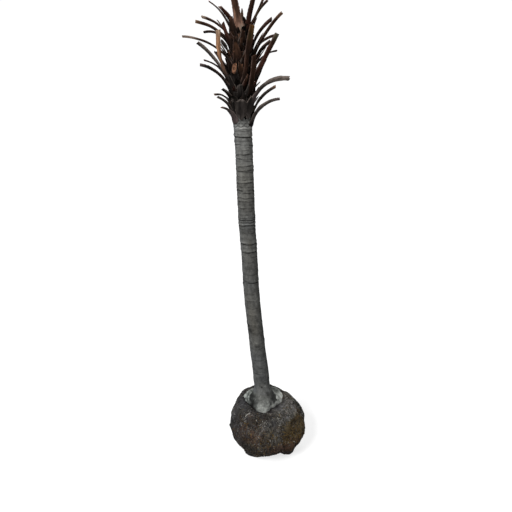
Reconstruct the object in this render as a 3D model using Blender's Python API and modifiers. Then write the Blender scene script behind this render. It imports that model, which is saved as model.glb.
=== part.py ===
"""Cut-back palm on its root ball: fibrous ball, leaning ringed trunk, crown of frond stubs.

Metres, +Z up. The origin is the centre of the flat underside of the root ball, and the
trunk leans towards -X. Every frond was cut back, so each frond node is the stalk that is left.
"""
import math

import bmesh
import bpy
from mathutils import Vector, noise

NAME = "cut_back_palm"
GAP = 0.0003  # clearance between touching solids

# Root ball, turned: height and radius from its flat underside to its flattened top.
BALL_PROFILE = (
    (0.000, 0.097), (0.015, 0.126), (0.040, 0.153), (0.070, 0.173), (0.105, 0.188), (0.140, 0.194),
    (0.180, 0.186), (0.210, 0.175), (0.236, 0.164), (0.256, 0.151), (0.268, 0.133), (0.273, 0.106),
)
BALL_TOP = 0.274
BALL_SIDES = 30
BALL_LUMP = 0.0045  # height of the uneven lumps
BALL_LUMP_SIZE = 0.075
BALL_TOP_TILT = 0.085  # the top rises towards +Y by this slope
BALL_TOP_SIDE = 0.040  # and towards -X by this one
SEAT_RADIUS = 0.101  # flat seat cut for the foot of the trunk
SEAT_HEIGHT = 0.262
SEAT_CENTRE_X = -0.022

# Trunk: sideways place of its centre line by height.
LEAN = (
    (0.262, -0.0220), (0.357, -0.0290), (0.450, -0.0375), (0.560, -0.0520), (0.690, -0.0668), (0.820, -0.0792),
    (0.950, -0.0870), (1.070, -0.0925), (1.300, -0.1040), (1.510, -0.1130), (1.640, -0.1175), (1.750, -0.1220),
    (1.870, -0.1230), (2.020, -0.1190),
)
# Trunk radius by height: root flare with its skirt, bole, crown shaft of old leaf bases, bud.
GIRTH = (
    (0.2623, 0.0900), (0.2665, 0.0930), (0.2730, 0.0880), (0.2840, 0.0710), (0.3080, 0.0560), (0.3280, 0.0475),
    (0.3570, 0.0385), (0.4500, 0.0370), (0.6600, 0.0350), (0.8200, 0.0360), (1.0700, 0.0350), (1.3000, 0.0355),
    (1.5000, 0.0362), (1.5800, 0.0372), (1.6300, 0.0405), (1.6900, 0.0440), (1.7800, 0.0455), (1.8700, 0.0440),
    (1.9300, 0.0385), (1.9750, 0.0320), (2.0050, 0.0230), (2.0200, 0.0140),
)
TRUNK_SIDES_RESOLUTION = 6  # 16 sides
TRUNK_STEP = 0.07  # longest stretch between two rings of the tube
CORE_FROM = 1.4  # the cutter that clears the trunk out of the stubs starts here

# Frond stubs: place, height on the trunk (mm), bearing (deg, 0 = +X, 90 = +Y), slope at the foot and
# at the cut end (deg above level), swing of the bearing along the stalk (deg), length, width and
# thickness (mm), and colour.
STUBS = (
    ("left", 1965, 155, 65, 35, -5, 170, 16, 7, "brown"),
    ("left", 1985, -150, 60, 30, 5, 92, 18, 8, "pale"),
    ("left", 1940, -132, 76, 79, 0, 78, 17, 8, "brown"),
    ("left", 1945, 170, 55, 15, 0, 150, 16, 7, "brown"),
    ("left", 1910, 135, 60, 45, 5, 155, 14, 6, "pale"),
    ("left", 1903, -147, 67, 68, 5, 94, 18, 9, "brown"),
    ("left", 1924, -170, 55, 5, 5, 162, 15, 8, "brown"),
    ("left", 1905, 160, 70, -5, 0, 150, 15, 7, "brown"),
    ("left", 1865, 180, 50, 0, 5, 210, 16, 7, "brown"),
    ("left", 1770, -145, 55, 95, -20, 210, 18, 8, "ochre"),
    ("left", 1783, -171, 60, 38, -5, 192, 17, 12, "grey"),
    ("left", 1760, 155, 70, 15, -5, 180, 15, 7, "brown"),
    ("left", 1745, -160, 66, 10, -5, 168, 17, 10, "grey"),
    ("left", 1680, 150, 70, -5, 5, 120, 15, 7, "grey"),
    ("left", 1650, -164, 65, 30, 5, 100, 15, 7, "grey"),
    ("left", 1705, -142, 70, 15, 0, 65, 16, 8, "grey"),
    ("left", 1625, -142, 76, 5, 0, 94, 16, 7, "grey"),
    ("left", 1875, 145, 65, 40, -5, 95, 17, 13, "grey"),
    ("left", 1773, 133, 65, 41, 5, 180, 16, 10, "brown"),
    ("right", 1965, -42, 79, 66, 0, 140, 19, 10, "brown"),
    ("right", 1966, 52, 58, 50, 0, 192, 16, 8, "pale"),
    ("right", 1970, 15, 75, 40, -5, 145, 16, 8, "brown"),
    ("right", 1850, -12, 79, 35, 0, 224, 15, 10, "pale"),
    ("right", 1895, 20, 79, 30, 0, 170, 16, 11, "brown"),
    ("right", 1775, -28, 60, 55, 0, 207, 19, 11, "brown"),
    ("right", 1862, 47, 60, 15, -8, 207, 15, 9, "brown"),
    ("right", 1815, 12, 78, 40, 0, 150, 17, 11, "brown"),
    ("right", 1792, 39, 75, 7, 5, 212, 14, 7, "brown"),
    ("right", 1710, 6, 79, 61, 0, 173, 15, 10, "brown"),
    ("right", 1690, -23, 78, -13, 5, 210, 16, 13, "pale"),
    ("right", 1660, 10, 70, 25, 0, 155, 15, 11, "pale"),
    ("right", 1614, -10, 77, 10, 5, 168, 15, 9, "grey"),
    ("front", 1959, -97, 78, 75, -84, 185, 20, 9, "brown"),
    ("front", 1955, 86, 82, 84, 0, 112, 14, 7, "pale"),
    ("front", 1765, -71, 75, 51, 1, 228, 18, 9, "ochre"),
    ("front", 1715, -48, 74, 55, -42, 172, 19, 9, "brown"),
    ("front", 1770, -112, 70, 62, 0, 85, 20, 12, "ochre"),
    ("front", 1712, -94, 74, 66, 0, 62, 24, 11, "grey"),
    ("front", 1640, -94, 76, 72, 0, 76, 25, 8, "grey"),
    ("front", 1650, -54, 74, 70, 0, 82, 20, 8, "grey"),
    ("front", 1840, -104, 78, 72, 0, 90, 22, 9, "brown"),
    ("front", 1676, -124, 74, 72, 0, 56, 22, 8, "grey"),
)
# Stubs of the far side, five columns that climb the trunk in turn.
BACK_COUNT = 14
BACK_START = 1.630
BACK_RISE = 0.0225
BACK_COLUMNS = (74, 83, 92, 101, 110)  # bearings (deg)
BACK_STEP = 2  # columns passed over by the next stub up
BACK_LENGTH = (0.120, 0.200)
BACK_WIDTH = 0.016
BACK_THICKNESS = 0.0075

STUB_SEGMENTS = 6
STUB_SECTION = ((-0.5, 0.0), (-0.28, 0.5), (0.28, 0.5), (0.5, 0.0), (0.28, -0.5), (-0.28, -0.5))
STUB_FOOT_WIDTH = 1.35  # clasping foot, as a share of the stalk's width
STUB_TIP_WIDTH = 0.86

COLOURS = {
    "root": (0.066, 0.054, 0.044),
    "bark": (0.098, 0.096, 0.091),
    "brown": (0.040, 0.026, 0.020),
    "grey": (0.060, 0.054, 0.049),
    "pale": (0.120, 0.086, 0.062),
    "ochre": (0.190, 0.112, 0.062),
}


def material(name, colour, roughness):
    """A Principled material with one colour and roughness."""
    made = bpy.data.materials.new(name)
    made.use_nodes = True
    shader = made.node_tree.nodes["Principled BSDF"]
    shader.inputs["Base Color"].default_value = (*colour, 1.0)
    shader.inputs["Roughness"].default_value = roughness
    shader.inputs["Metallic"].default_value = 0.0
    made.diffuse_color = (*colour, 1.0)
    return made


def along(stations, height):
    """Value between stations at a height, eased so that the line has no corners."""
    if height <= stations[0][0]:
        return stations[0][1]
    for i in range(len(stations) - 1):
        (h0, v0), (h1, v1) = stations[i], stations[i + 1]
        if height <= h1:
            before = stations[i - 1] if i else stations[i]
            after = stations[i + 2] if i + 2 < len(stations) else stations[i + 1]
            span = h1 - h0
            s0 = (v1 - before[1]) / max(h1 - before[0], 1e-6) * span
            s1 = (after[1] - v0) / max(after[0] - h0, 1e-6) * span
            t = (height - h0) / span
            return (
                (2 * t**3 - 3 * t**2 + 1) * v0 + (t**3 - 2 * t**2 + t) * s0
                + (3 * t**2 - 2 * t**3) * v1 + (t**3 - t**2) * s1
            )
    return stations[-1][1]


def add_object(name, mesh, collection, mat=None):
    made = bpy.data.objects.new(name, mesh)
    collection.objects.link(made)
    if mat:
        made.data.materials.clear()
        made.data.materials.append(mat)
    return made


def baked(source, name):
    """The evaluated mesh of an object, welded, as a new mesh."""
    graph = bpy.context.evaluated_depsgraph_get()
    graph.update()
    mesh = bpy.data.meshes.new_from_object(source.evaluated_get(graph))
    mesh.name = name
    work = bmesh.new()
    work.from_mesh(mesh)
    bmesh.ops.remove_doubles(work, verts=work.verts, dist=1e-6)
    bmesh.ops.triangulate(work, faces=work.faces, quad_method="FIXED")
    bmesh.ops.recalc_face_normals(work, faces=work.faces)
    work.to_mesh(mesh)
    work.free()
    return mesh


def hide_cutter(cutter):
    cutter.hide_render = True
    cutter.display_type = "WIRE"


def cut(target, cutter):
    step = target.modifiers.new("cut_" + cutter.name, "BOOLEAN")
    step.operation = "DIFFERENCE"
    step.solver = "EXACT"
    step.object = cutter


def make_ball(parts, cutters):
    """Turned ball with uneven lumps, a flat underside and a flat seat."""
    outline = [(0.0, BALL_TOP)] + [(r, h) for h, r in reversed(BALL_PROFILE)] + [(0.0, 0.0)]
    mesh = bpy.data.meshes.new("ball_outline")
    mesh.from_pydata([(r, 0.0, h) for r, h in outline], [(i, i + 1) for i in range(len(outline) - 1)], [])
    turned = add_object("ball_outline", mesh, cutters)
    screw = turned.modifiers.new("turn", "SCREW")
    screw.steps = screw.render_steps = BALL_SIDES
    screw.use_merge_vertices = True
    screw.merge_threshold = 0.0001
    screw.use_smooth_shade = False
    solid = baked(turned, "root_ball")
    bpy.data.objects.remove(turned, do_unlink=True)
    foot = BALL_PROFILE[0][1]
    for vert in solid.vertices:
        place = vert.co.copy()
        if place.z < 0.001:
            angle = math.atan2(place.y, place.x)
            vert.co.xy *= 1.0 + 0.05 * math.sin(3.0 * angle + 0.6)
            continue
        flat = min(1.0, place.z / 0.05) * min(1.0, max(place.xy.length / foot, 0.2))
        lump = noise.noise(place / BALL_LUMP_SIZE) + 0.5 * noise.noise(place * 2.1 / BALL_LUMP_SIZE)
        out = Vector((place.x, place.y, (place.z - 0.14) * 0.7))
        if out.length > 1e-4:
            vert.co += out.normalized() * lump * BALL_LUMP * 2.0 * flat
        high = min(1.0, max(0.0, (place.z - 0.14) / 0.12))
        vert.co.z += (BALL_TOP_TILT * place.y - BALL_TOP_SIDE * place.x) * high
        vert.co.x -= 0.005 * high
    made = add_object("root_ball", solid, parts, material("root_mat", COLOURS["root"], 0.95))
    bpy.ops.mesh.primitive_cylinder_add(
        vertices=28, radius=SEAT_RADIUS, depth=0.1, location=(SEAT_CENTRE_X, 0.0, SEAT_HEIGHT + 0.05)
    )
    seat = bpy.context.object
    seat.name = "seat_cutter"
    for owner in list(seat.users_collection):
        owner.objects.unlink(seat)
    cutters.objects.link(seat)
    hide_cutter(seat)
    cut(made, seat)
    return made


def trunk_mesh(name, cutters, grow=0.0):
    """Leaning tube whose radius follows the girth stations, cut flat at its foot."""
    curve = bpy.data.curves.new(name, "CURVE")
    curve.dimensions = "3D"
    curve.bevel_depth = 1.0
    curve.bevel_resolution = TRUNK_SIDES_RESOLUTION
    curve.use_fill_caps = True
    line = curve.splines.new("POLY")
    heights = [GIRTH[0][0] - 0.02]
    for (low, _), (high, _) in zip(GIRTH, GIRTH[1:]):
        steps = max(1, math.ceil((high - low) / TRUNK_STEP - 1e-6))
        heights += [low + (high - low) * k / steps for k in range(steps)]
    heights.append(GIRTH[-1][0])
    if grow:
        heights = [h for h in heights if h >= CORE_FROM]
        heights[-1] += grow
    line.points.add(len(heights) - 1)
    for point, height in zip(line.points, heights):
        point.co = (along(LEAN, height), 0.0, height, 1.0)
        point.radius = along(GIRTH, height) + grow
    tube = bpy.data.objects.new(name, curve)
    cutters.objects.link(tube)
    mesh = baked(tube, name)
    bpy.data.objects.remove(tube, do_unlink=True)
    return mesh


def make_trunk(parts, cutters):
    made = add_object("trunk", trunk_mesh("trunk", cutters), parts, material("bark_mat", COLOURS["bark"], 0.85))
    bpy.ops.mesh.primitive_cube_add(size=0.3, location=(SEAT_CENTRE_X, 0.0, SEAT_HEIGHT + GAP - 0.15))
    ground = bpy.context.object
    ground.name = "foot_cutter"
    for owner in list(ground.users_collection):
        owner.objects.unlink(ground)
    cutters.objects.link(ground)
    hide_cutter(ground)
    cut(made, ground)
    core = add_object("core_cutter", trunk_mesh("core_cutter", cutters, GAP), cutters)
    hide_cutter(core)
    return made, core


def stub_path(height, bearing, slope0, slope1, swing, length, back):
    """Centre points and directions of a stalk, from inside the trunk out to its cut end."""
    reach = along(GIRTH, height)
    out = Vector((math.cos(bearing), math.sin(bearing), 0.0))
    place = Vector((along(LEAN, height), 0.0, height)) + out * reach
    start = out * math.cos(slope0) + Vector((0.0, 0.0, math.sin(slope0)))
    path = [(place - start * back, start)]
    fine = 4
    for i in range(STUB_SEGMENTS):
        path.append((place.copy(), None))
        for j in range(fine):
            t = (i * fine + j + 0.5) / (STUB_SEGMENTS * fine)
            slope = slope0 + (slope1 - slope0) * t
            turn = bearing + swing * t
            place = place + Vector(
                (math.cos(slope) * math.cos(turn), math.cos(slope) * math.sin(turn), math.sin(slope))
            ) * (length / (STUB_SEGMENTS * fine))
    path.append((place.copy(), None))
    points = [p for p, _ in path]
    headings = []
    for i in range(len(points)):
        a, b = points[max(i - 1, 0)], points[min(i + 1, len(points) - 1)]
        headings.append((b - a).normalized())
    headings[0] = start
    return points, headings


def stub_mesh(name, height, bearing, slope0, slope1, swing, length, width, thickness):
    """Loft of a flattened six-sided section that narrows from a clasping foot to the stalk."""
    back = min(0.045, (0.6 * thickness + 0.003) / max(math.cos(slope0), 0.15))
    points, headings = stub_path(height, bearing, slope0, slope1, swing, length, back)
    side = Vector((-math.sin(bearing), math.cos(bearing), 0.0))
    work = bmesh.new()
    rings = []
    total = len(points) - 1
    for i, (place, heading) in enumerate(zip(points, headings)):
        t = max(0.0, (i - 1) / (total - 1))
        foot = max(0.0, 1.0 - t / 0.34) ** 1.5
        across = width * (1.0 + (STUB_FOOT_WIDTH - 1.0) * foot) * (1.0 + (STUB_TIP_WIDTH - 1.0) * t)
        deep = thickness * (1.0 + 0.2 * foot) * (1.0 - 0.12 * t)
        flat = (side - heading * side.dot(heading)).normalized()
        out = flat.cross(heading)
        rings.append([work.verts.new(place + flat * (across * u) + out * (deep * v)) for u, v in STUB_SECTION])
    for a, b in zip(rings, rings[1:]):
        for i in range(len(STUB_SECTION)):
            j = (i + 1) % len(STUB_SECTION)
            work.faces.new((a[i], a[j], b[j], b[i]))
    work.faces.new(rings[0])
    work.faces.new(rings[-1])
    bmesh.ops.recalc_face_normals(work, faces=work.faces)
    mesh = bpy.data.meshes.new(name)
    work.to_mesh(mesh)
    work.free()
    return mesh


def all_stubs():
    """Every stub's name and sizes in metres and radians, the far side's worked out by rule."""
    count = {}
    for where, height, bearing, slope0, slope1, swing, length, width, thickness, colour in STUBS:
        count[where] = count.get(where, 0) + 1
        yield (
            f"frond_{where}_{count[where]:02d}", height / 1000, math.radians(bearing), math.radians(slope0),
            math.radians(slope1), math.radians(swing), length / 1000, width / 1000, thickness / 1000, colour,
        )
    for i in range(BACK_COUNT):
        wave = 0.5 + 0.5 * math.sin(2.4 * i + 0.7)
        high = i / (BACK_COUNT - 1)
        yield (
            f"frond_back_{i + 1:02d}", BACK_START + BACK_RISE * i,
            math.radians(BACK_COLUMNS[i * BACK_STEP % len(BACK_COLUMNS)]), math.radians(70 - 6 * wave),
            math.radians(12 + 30 * wave + 18 * high), math.radians(6 - 12 * wave),
            BACK_LENGTH[0] + (BACK_LENGTH[1] - BACK_LENGTH[0]) * wave, BACK_WIDTH, BACK_THICKNESS,
            "grey" if high < 0.35 else "brown",
        )


def main():
    for old in list(bpy.data.objects):
        bpy.data.objects.remove(old, do_unlink=True)
    parts = bpy.data.collections.new(NAME)
    cutters = bpy.data.collections.new("cutters")
    for made in (parts, cutters):
        bpy.context.scene.collection.children.link(made)
    make_ball(parts, cutters)
    _, core = make_trunk(parts, cutters)
    for name, *sizes, colour in all_stubs():
        stub = add_object(name, stub_mesh(name, *sizes), parts, material(name + "_mat", COLOURS[colour], 0.8))
        cut(stub, core)


main()
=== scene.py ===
import math
import random

import bpy
import numpy as np
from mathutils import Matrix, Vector, noise
from mathutils.bvhtree import BVHTree


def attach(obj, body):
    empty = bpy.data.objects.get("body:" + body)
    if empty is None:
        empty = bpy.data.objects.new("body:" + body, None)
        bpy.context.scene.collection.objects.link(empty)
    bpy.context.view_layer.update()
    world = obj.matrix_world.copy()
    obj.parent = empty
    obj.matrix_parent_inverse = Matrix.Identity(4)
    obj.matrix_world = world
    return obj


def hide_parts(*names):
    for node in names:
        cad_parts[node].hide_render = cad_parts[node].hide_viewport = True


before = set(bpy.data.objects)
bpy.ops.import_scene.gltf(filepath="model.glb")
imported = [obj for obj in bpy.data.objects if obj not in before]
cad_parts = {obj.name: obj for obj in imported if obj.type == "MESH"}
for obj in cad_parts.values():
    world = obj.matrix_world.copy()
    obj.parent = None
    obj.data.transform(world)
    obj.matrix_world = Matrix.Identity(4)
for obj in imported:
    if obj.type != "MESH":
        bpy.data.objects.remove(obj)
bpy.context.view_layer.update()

# ----------------------------------------------------------------- sizes, as in the CAD
BALL_PROFILE = (
    (0.000, 0.097), (0.015, 0.126), (0.040, 0.153), (0.070, 0.173), (0.105, 0.188), (0.140, 0.194),
    (0.180, 0.186), (0.210, 0.175), (0.236, 0.164), (0.256, 0.151), (0.268, 0.133), (0.273, 0.106),
)
BALL_LUMP = 0.0045
BALL_LUMP_SIZE = 0.075
BALL_TOP_TILT = 0.085
BALL_TOP_SIDE = 0.040
SEAT_HEIGHT = 0.262
LEAN = (
    (0.262, -0.0220), (0.357, -0.0290), (0.450, -0.0375), (0.560, -0.0520), (0.690, -0.0668), (0.820, -0.0792),
    (0.950, -0.0870), (1.070, -0.0925), (1.300, -0.1040), (1.510, -0.1130), (1.640, -0.1175), (1.750, -0.1220),
    (1.870, -0.1230), (2.020, -0.1190),
)
GIRTH = (
    (0.2623, 0.0900), (0.2665, 0.0930), (0.2730, 0.0880), (0.2840, 0.0710), (0.3080, 0.0560), (0.3280, 0.0475),
    (0.3570, 0.0385), (0.4500, 0.0370), (0.6600, 0.0350), (0.8200, 0.0360), (1.0700, 0.0350), (1.3000, 0.0355),
    (1.5000, 0.0362), (1.5800, 0.0372), (1.6300, 0.0405), (1.6900, 0.0440), (1.7800, 0.0455), (1.8700, 0.0440),
    (1.9300, 0.0385), (1.9750, 0.0320), (2.0050, 0.0230), (2.0200, 0.0140),
)
# Cut fronds. The numbers are the CAD's: place, height, bearing, slope at foot and tip, swing, length,
# width, thickness, slot. The looks: tones along the stalk from foot to tip, breadth in mm at shares of
# the length (or just the foot's), roll about its own axis, how far its middle is lifted or moved to +X,
# how much fuller it is than its core, the kind of end and the height of its teeth.
def cut(where, height, bearing, slope0, slope1, swing, length, width, thickness, slot, tones, **looks):
    sizes = (height / 1000, math.radians(bearing), math.radians(slope0), math.radians(slope1), math.radians(swing))
    return where, (*sizes, length / 1000, width / 1000, thickness / 1000), slot, tones, looks


STUBS = (
    cut("left", 1965, 155, 65, 35, -5, 170, 16, 7, "brown", "soot dark dark bark", lift=4, fat=1.35, roll=10),
    cut("left", 1985, -150, 60, 30, 5, 92, 18, 8, "pale", "dark red red rose", fat=0.95, roll=15, foot=50),
    cut("left", 1940, -132, 76, 79, 0, 78, 17, 8, "brown", "soot dark brown umber", fat=1.3, foot=46),
    cut("left", 1945, 170, 55, 15, 0, 150, 16, 7, "brown", "soot dark brown brown pale", lift=2, fat=1.45, roll=12),
    cut("left", 1910, 135, 60, 45, 5, 155, 14, 6, "pale", "soot dark grey ash", fat=1.05, roll=20),
    cut("left", 1903, -147, 67, 68, 5, 94, 18, 9, "brown", "soot dark red brown", fat=1.3, tip=(-3, 7)),
    cut("left", 1924, -170, 55, 5, 5, 162, 15, 8, "brown", "soot dark brown brown tan", lift=-2, fat=1.3, roll=15, tip=(-3, -2)),
    cut("left", 1905, 160, 70, -5, 0, 150, 15, 7, "brown", "soot dark dark dark", lift=3, fat=1.5, roll=10),
    cut("left", 1865, 180, 50, 0, 5, 210, 16, 7, "brown", "soot dark dark dark brown pale pale", lift=2, fat=1.3, roll=8, tip=(-5, 1)),
    cut("left", 1770, -145, 55, 95, -20, 210, 18, 8, "ochre", "soot slate bark ochre ochre straw",
        wide=((0, 40), (0.12, 32), (0.25, 20), (0.42, 11), (0.58, 15), (0.75, 18), (1, 18)), roll=48, shift=-2, teeth=0.3, edge=0.2),
    cut("left", 1783, -171, 60, 38, -5, 192, 17, 12, "grey", "dark slate grey grey slate", lift=7, shift=-3, fat=0.98, roll=30, edge=1.0),
    cut("left", 1760, 155, 70, 15, -5, 180, 15, 7, "brown", "soot dark dark red", lift=4, fat=1.35, roll=10),
    cut("left", 1745, -160, 66, 10, -5, 168, 17, 10, "grey", "soot slate dark slate mauve", lift=2, shift=3, fat=1.0, roll=20, teeth=1.8, tip=(5, -3)),
    cut("left", 1680, 150, 70, -5, 5, 120, 15, 7, "grey", "soot dark slate tan", lift=4, fat=1.35, roll=15, teeth=1.6),
    cut("left", 1650, -164, 65, 30, 5, 100, 15, 7, "grey", "dark slate grey", lift=6, shift=7, fat=1.35, roll=20, tip=(3, 2), dark=0.9),
    cut("left", 1705, -142, 70, 15, 0, 65, 16, 8, "grey", "black soot soot", kind="torn", fat=1.4, foot=46, tip=(-3, 5)),
    cut("left", 1625, -142, 76, 5, 0, 94, 16, 7, "grey", "mauve mauve grey rose", fat=1.2, roll=12, shift=4, dark=1.2,
        wide=((0, 42), (0.2, 46), (0.45, 32), (0.7, 14), (1, 11)), tip=(2, 1)),
    cut("left", 1875, 145, 65, 40, -5, 95, 17, 13, "grey", "soot dark slate grey", fat=1.1, roll=40, edge=0.3,
        wide=((0, 60), (0.25, 44), (0.5, 34), (0.8, 26), (1, 18))),
    cut("left", 1773, 133, 65, 41, 5, 180, 16, 10, "brown", "soot dark slate", fat=1.5, roll=20, shift=-7, tip=(-2, 0)),
    cut("right", 1965, -42, 79, 66, 0, 140, 19, 10, "brown", "dark red brown red", fat=1.15, teeth=1.4,
        wide=((0, 34), (0.15, 30), (0.4, 26), (0.7, 21), (1, 18))),
    cut("right", 1966, 52, 58, 50, 0, 192, 16, 8, "pale", "dark red brown rose", fat=1.2, shift=6, roll=-20, tip=(3, 0)),
    cut("right", 1970, 15, 75, 40, -5, 145, 16, 8, "brown", "dark red olive dark red", fat=1.2, shift=2, roll=-15),
    cut("right", 1850, -12, 79, 35, 0, 224, 15, 10, "pale", "soot dark dark brown brown tan", fat=1.15, shift=4, lift=-6, roll=-20, edge=0.3, tip=(6, 0)),
    cut("right", 1895, 20, 79, 30, 0, 170, 16, 11, "brown", "soot dark red dark", fat=1.4, roll=-25, teeth=1.6, lift=-3, shift=-2),
    cut("right", 1775, -28, 60, 55, 0, 207, 19, 11, "brown", "soot dark red red brown moss", fat=1.2, shift=5, roll=-25, tip=(5, 0)),
    cut("right", 1862, 47, 60, 15, -8, 207, 15, 9, "brown", "soot dark brown grey", fat=1.35, lift=4, roll=-30, edge=0.8),
    cut("right", 1815, 12, 78, 40, 0, 150, 17, 11, "brown", "soot dark dark dark", fat=1.3, roll=-30, lift=4, shift=-2),
    cut("right", 1792, 39, 75, 7, 5, 212, 14, 7, "brown", "soot dark dark brown", fat=1.35, roll=-10, lift=-2, tip=(5, -1)),
    cut("right", 1710, 6, 79, 61, 0, 173, 15, 10, "brown", "soot slate dark dark", fat=1.2, shift=-6, kind="point", roll=-25),
    cut("right", 1690, -23, 78, -13, 5, 210, 16, 13, "pale", "dark mauve slate grey ash ash", fat=1.3, roll=-20,
        kind="swell", edge=0.7, tip=(6, -1), dark=0.8),
    cut("right", 1660, 10, 70, 25, 0, 155, 15, 11, "pale", "slate moss slate slate tan", fat=1.3, roll=-38, teeth=1.8, wide=((0, 56), (0.15, 42), (0.32, 28), (0.55, 17), (1, 13)), lift=-1, shift=-2, dark=0.7),
    cut("right", 1614, -10, 77, 10, 5, 168, 15, 9, "grey", "slate grey grey grey mauve", fat=1.3, roll=-34, teeth=1.8, wide=((0, 60), (0.15, 46), (0.32, 28), (0.55, 17), (1, 13)), lift=2, shift=-3, tip=(0, -5), dark=1.1),
    cut("front", 1959, -97, 78, 75, -84, 185, 20, 9, "brown", "bark rose bark brown brown umber", point=30, teeth=1.6, shift=-4, spot=(0.10, 0.46, 9, "pale"), gloom=0.0,
        wide=((0, 34), (0.06, 48), (0.13, 52), (0.24, 40), (0.38, 28), (0.7, 23), (1, 19)), edge=1.1, dark=1.4),
    cut("front", 1955, 86, 82, 84, 0, 112, 14, 7, "pale", "dark brown tan", kind="point", fat=1.1),
    cut("front", 1765, -71, 75, 51, 1, 228, 18, 9, "ochre", "dark dark brown brown dark brown olive gold", teeth=0.8, gloom=0.5,
        wide=((0, 40), (0.15, 22), (0.3, 17), (0.5, 16), (0.7, 19), (0.85, 21), (1, 20)), edge=0.6, shift=-1),
    cut("front", 1715, -48, 74, 55, -42, 172, 19, 9, "brown", "soot dark brown brown brown", teeth=0.8, edge=0.8, gloom=0.5,
        wide=((0, 40), (0.2, 28), (0.5, 24), (1, 22))),
    cut("front", 1770, -112, 70, 62, 0, 85, 20, 12, "ochre", "soot slate soot dark", kind="oblique", face="peach", shift=-2,
        wide=((0, 42), (0.3, 38), (0.7, 30), (1, 20)), edge=0.2, tip=(9, -1), slant=3.8),
    cut("front", 1712, -94, 74, 66, 0, 62, 24, 11, "grey", "black black slate grey grey", kind="round", face="grey", dark=0.6,
        wide=((0, 30), (0.4, 27), (1, 22)), edge=0.45),
    cut("front", 1640, -94, 76, 72, 0, 76, 25, 8, "grey", "slate slate slate slate grey", kind="round", point=8, dark=2.5, gloom=0.0,
        wide=((0, 16), (0.15, 34), (0.4, 48), (0.75, 50), (1, 38)), edge=0.35),
    cut("front", 1650, -54, 74, 70, 0, 82, 20, 8, "grey", "slate slate slate grey", kind="point", point=14, dark=2.5, gloom=0.0,
        wide=((0, 22), (0.2, 40), (0.5, 46), (0.8, 30), (1, 12)), edge=0.9),
    cut("front", 1840, -104, 78, 72, 0, 90, 22, 9, "brown", "black dark umber dark", kind="torn", edge=1.0,
        wide=((0, 46), (0.3, 36), (0.7, 27), (1, 16))),
    cut("front", 1676, -124, 74, 72, 0, 56, 22, 8, "grey", "slate slate black", kind="round", point=20, dark=0.9,
        wide=((0, 56), (0.4, 46), (1, 30)), edge=0.5),
)
BACK_COUNT = 14
BACK_START = 1.630
BACK_RISE = 0.0225
BACK_COLUMNS = (74, 83, 92, 101, 110)
BACK_STEP = 2
BACK_LENGTH = (0.120, 0.200)
BACK_WIDTH = 0.016
BACK_THICKNESS = 0.0075
BACK_TONES = (
    "soot dark brown rose", "soot dark red tan", "dark brown brown pale", "soot dark dark brown", "dark red umber gold",
)

# Surface colours (sRGB, 0 to 255).
PALETTE = {
    "black": (11, 8, 6), "soot": (20, 15, 12), "dark": (35, 25, 20), "brown": (57, 39, 30), "umber": (78, 54, 40),
    "bark": (92, 68, 54), "red": (72, 43, 34), "rose": (112, 84, 71), "pink": (136, 92, 82), "mauve": (98, 86, 85),
    "slate": (42, 38, 36), "grey": (82, 75, 71), "ash": (114, 103, 96), "moss": (88, 82, 66), "olive": (78, 62, 40),
    "tan": (136, 105, 82), "ochre": (136, 101, 75), "straw": (164, 136, 113), "peach": (132, 94, 72),
    "gold": (104, 73, 40), "pale": (170, 150, 134),
}


def linear(colour):
    """sRGB 0-255 to linear light."""
    c = np.asarray(colour, float) / 255.0
    return np.where(c <= 0.04045, c / 12.92, ((c + 0.055) / 1.055) ** 2.4)


def tone(name):
    return linear(PALETTE[name])


# ----------------------------------------------------------------- small maths
def ease(low, high, x):
    t = np.clip((np.asarray(x, float) - low) / (high - low), 0.0, 1.0)
    return t * t * (3 - 2 * t)


def along(stations, height):
    """Eased value between stations, for one height or an array of them."""
    h = np.atleast_1d(np.asarray(height, float))
    s = np.array([a for a, _ in stations])
    v = np.array([b for _, b in stations])
    i = np.clip(np.searchsorted(s, h, side="left") - 1, 0, len(s) - 2)
    h0, h1, v0, v1 = s[i], s[i + 1], v[i], v[i + 1]
    before, after = np.maximum(i - 1, 0), np.minimum(i + 2, len(s) - 1)
    span = h1 - h0
    s0 = (v1 - v[before]) / np.maximum(h1 - s[before], 1e-6) * span
    s1 = (v[after] - v0) / np.maximum(s[after] - h0, 1e-6) * span
    t = np.clip((h - h0) / span, 0.0, 1.0)
    out = (2 * t**3 - 3 * t**2 + 1) * v0 + (t**3 - 2 * t**2 + t) * s0 + (3 * t**2 - 2 * t**3) * v1 + (t**3 - t**2) * s1
    return out if np.ndim(height) else float(out[0])


def hashed(ix, iy, iz, seed):
    h = (ix * 374761393 + iy * 668265263 + iz * 1440662683 + seed * 1274126177) & 0xFFFFFFFF
    h = ((h ^ (h >> 13)) * 1103515245) & 0xFFFFFFFF
    h = ((h ^ (h >> 15)) * 668265261) & 0xFFFFFFFF
    return ((h ^ (h >> 16)) & 0xFFFFFF) / float(0xFFFFFF)


def lattice(points, size, seed=0):
    """Smooth random field from -1 to 1 at points, with features of about size."""
    p = np.asarray(points, float) / size
    base = np.floor(p)
    f = p - base
    f = f * f * (3 - 2 * f)
    i = base.astype(np.int64)
    total = 0.0
    for dx in (0, 1):
        wx = f[..., 0] if dx else 1 - f[..., 0]
        for dy in (0, 1):
            wy = f[..., 1] if dy else 1 - f[..., 1]
            for dz in (0, 1):
                wz = f[..., 2] if dz else 1 - f[..., 2]
                total = total + wx * wy * wz * hashed(i[..., 0] + dx, i[..., 1] + dy, i[..., 2] + dz, seed)
    return total * 2 - 1


def layered(points, size, seed=0, octaves=3, gain=0.5):
    out, weight, scale = 0.0, 1.0, 0.0
    for k in range(octaves):
        out = out + weight * lattice(points, size / 2**k, seed + 17 * k)
        scale += weight
        weight *= gain
    return out / scale


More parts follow.
